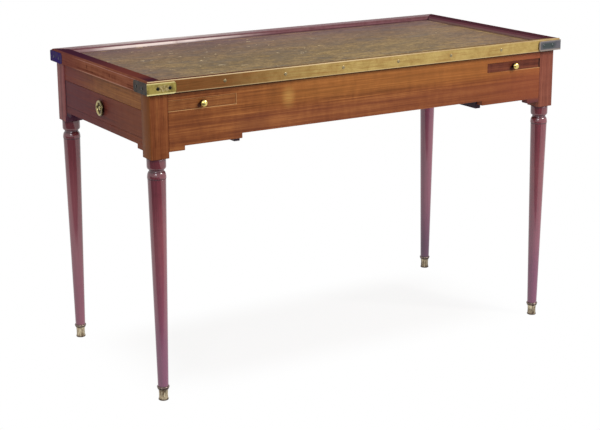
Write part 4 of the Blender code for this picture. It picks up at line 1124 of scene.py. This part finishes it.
# Floor, lights and camera
def floor():
    """A pale floor, white but for the shadow under the table. The legs mirror a darker room in front."""
    bm = bmesh.new()
    bmesh.ops.create_grid(bm, x_segments=1, y_segments=1, size=40.0)
    mesh = bpy.data.meshes.new("floor")
    bm.to_mesh(mesh)
    bm.free()
    obj = bpy.data.objects.new("floor", mesh)
    obj.location.z = -0.0005
    SCENE.collection.objects.link(obj)
    s = Surface("floor_pale")
    s.set(Base_Color=(0.86, 0.86, 0.86, 1.0), Roughness=0.9, Specular_IOR_Level=0.0)
    x, y = s.axes("XY")
    ray = s.node("ShaderNodeLightPath").outputs
    mirrored = s.larger(ray["Is Glossy Ray"], ray["Is Transmission Ray"])
    towards_room = s.total((y, -0.916), (x, -0.4))
    room = s.times(s.ease(towards_room, 0.66, 0.94, 0.95), s.spread(x, 0.5, 0.1), mirrored)
    under = s.times(s.ease(s.size(x), 0.6, 0.36, 0.21), s.ease(s.size(y), 0.29, 0.1))
    white = s.times(s.larger(ray["Is Camera Ray"], mirrored), s.minus(1.0, under))
    glow = s.node("ShaderNodeEmission").outputs["Emission"]
    dark = s.node("ShaderNodeEmission")
    s.feed(dark.inputs["Color"], (0.17, 0.16, 0.18, 1.0))
    pale = s.cover(white, s.shader.outputs["BSDF"], glow)
    s.feed(s.output.inputs["Surface"], s.cover(room, pale, dark.outputs["Emission"]))
    mesh.materials.append(s.material)
    obj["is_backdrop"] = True


def area_light(name, location, size, power, colour):
    """A rectangular lamp that points at the middle of the table."""
    data = bpy.data.lights.new(name, "AREA")
    data.shape = "RECTANGLE"
    data.size, data.size_y = size
    data.energy = power
    data.color = colour
    obj = bpy.data.objects.new(name, data)
    obj.location = location
    target = Vector((0.0, 0.0, 0.5))
    obj.rotation_euler = (target - Vector(location)).to_track_quat("-Z", "Y").to_euler()
    SCENE.collection.objects.link(obj)


def studio():
    """A white world, which lights things less brightly than the camera and mirrors see it."""
    lit, seen = 0.42, 1.0
    world = bpy.data.worlds.new("studio")
    world.use_nodes = True
    nodes, links = world.node_tree.nodes, world.node_tree.links
    ray = nodes.new("ShaderNodeLightPath").outputs
    strength = ray["Is Camera Ray"]
    for kind in ("Is Glossy Ray", "Is Transmission Ray"):
        either = nodes.new("ShaderNodeMath")
        either.operation = "MAXIMUM"
        links.new(strength, either.inputs[0])
        links.new(ray[kind], either.inputs[1])
        strength = either.outputs[0]
    power = nodes.new("ShaderNodeMath")
    power.operation = "MULTIPLY_ADD"
    links.new(strength, power.inputs[0])
    power.inputs[1].default_value = seen - lit
    power.inputs[2].default_value = lit
    background = nodes["Background"]
    background.inputs["Color"].default_value = (1.0, 1.0, 1.0, 1.0)
    links.new(power.outputs[0], background.inputs["Strength"])
    SCENE.world = world


def camera():
    """The photograph's camera. Its focal length and rows are in pixels of its frame."""
    image_width, focal, sensor = 600.0, 1423.4, 36.0
    axis_row, middle_row = 185.0, 215.0
    azimuth, elevation, roll = math.radians(31.214), math.radians(14.53), math.radians(-0.296)
    level = math.cos(elevation)
    ahead = Vector((math.sin(azimuth) * level, math.cos(azimuth) * level, -math.sin(elevation)))
    right = Vector((math.cos(azimuth), -math.sin(azimuth), 0.0))
    up = right.cross(ahead)
    right, up = math.cos(roll) * right + math.sin(roll) * up, math.cos(roll) * up - math.sin(roll) * right
    data = bpy.data.cameras.new("camera")
    data.sensor_fit = "HORIZONTAL"
    data.sensor_width = sensor
    data.lens = focal * sensor / image_width
    data.shift_y = (axis_row - middle_row) / image_width
    obj = bpy.data.objects.new("camera", data)
    matrix = Matrix((right, up, -ahead)).transposed().to_4x4()
    matrix.translation = (-1.8588, -3.0173, 1.2987)
    obj.matrix_world = matrix
    SCENE.collection.objects.link(obj)
    SCENE.camera = obj


floor()
area_light("key", (2.5, -3.2, 3.3), (1.5, 1.5), 190.0, (1.0, 0.97, 0.92))
area_light("fill", (-2.6, -3.0, 2.4), (1.2, 1.6), 46.0, (0.92, 0.93, 1.0))
studio()
camera()
SCENE.view_settings.view_transform = "Standard"

low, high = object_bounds()
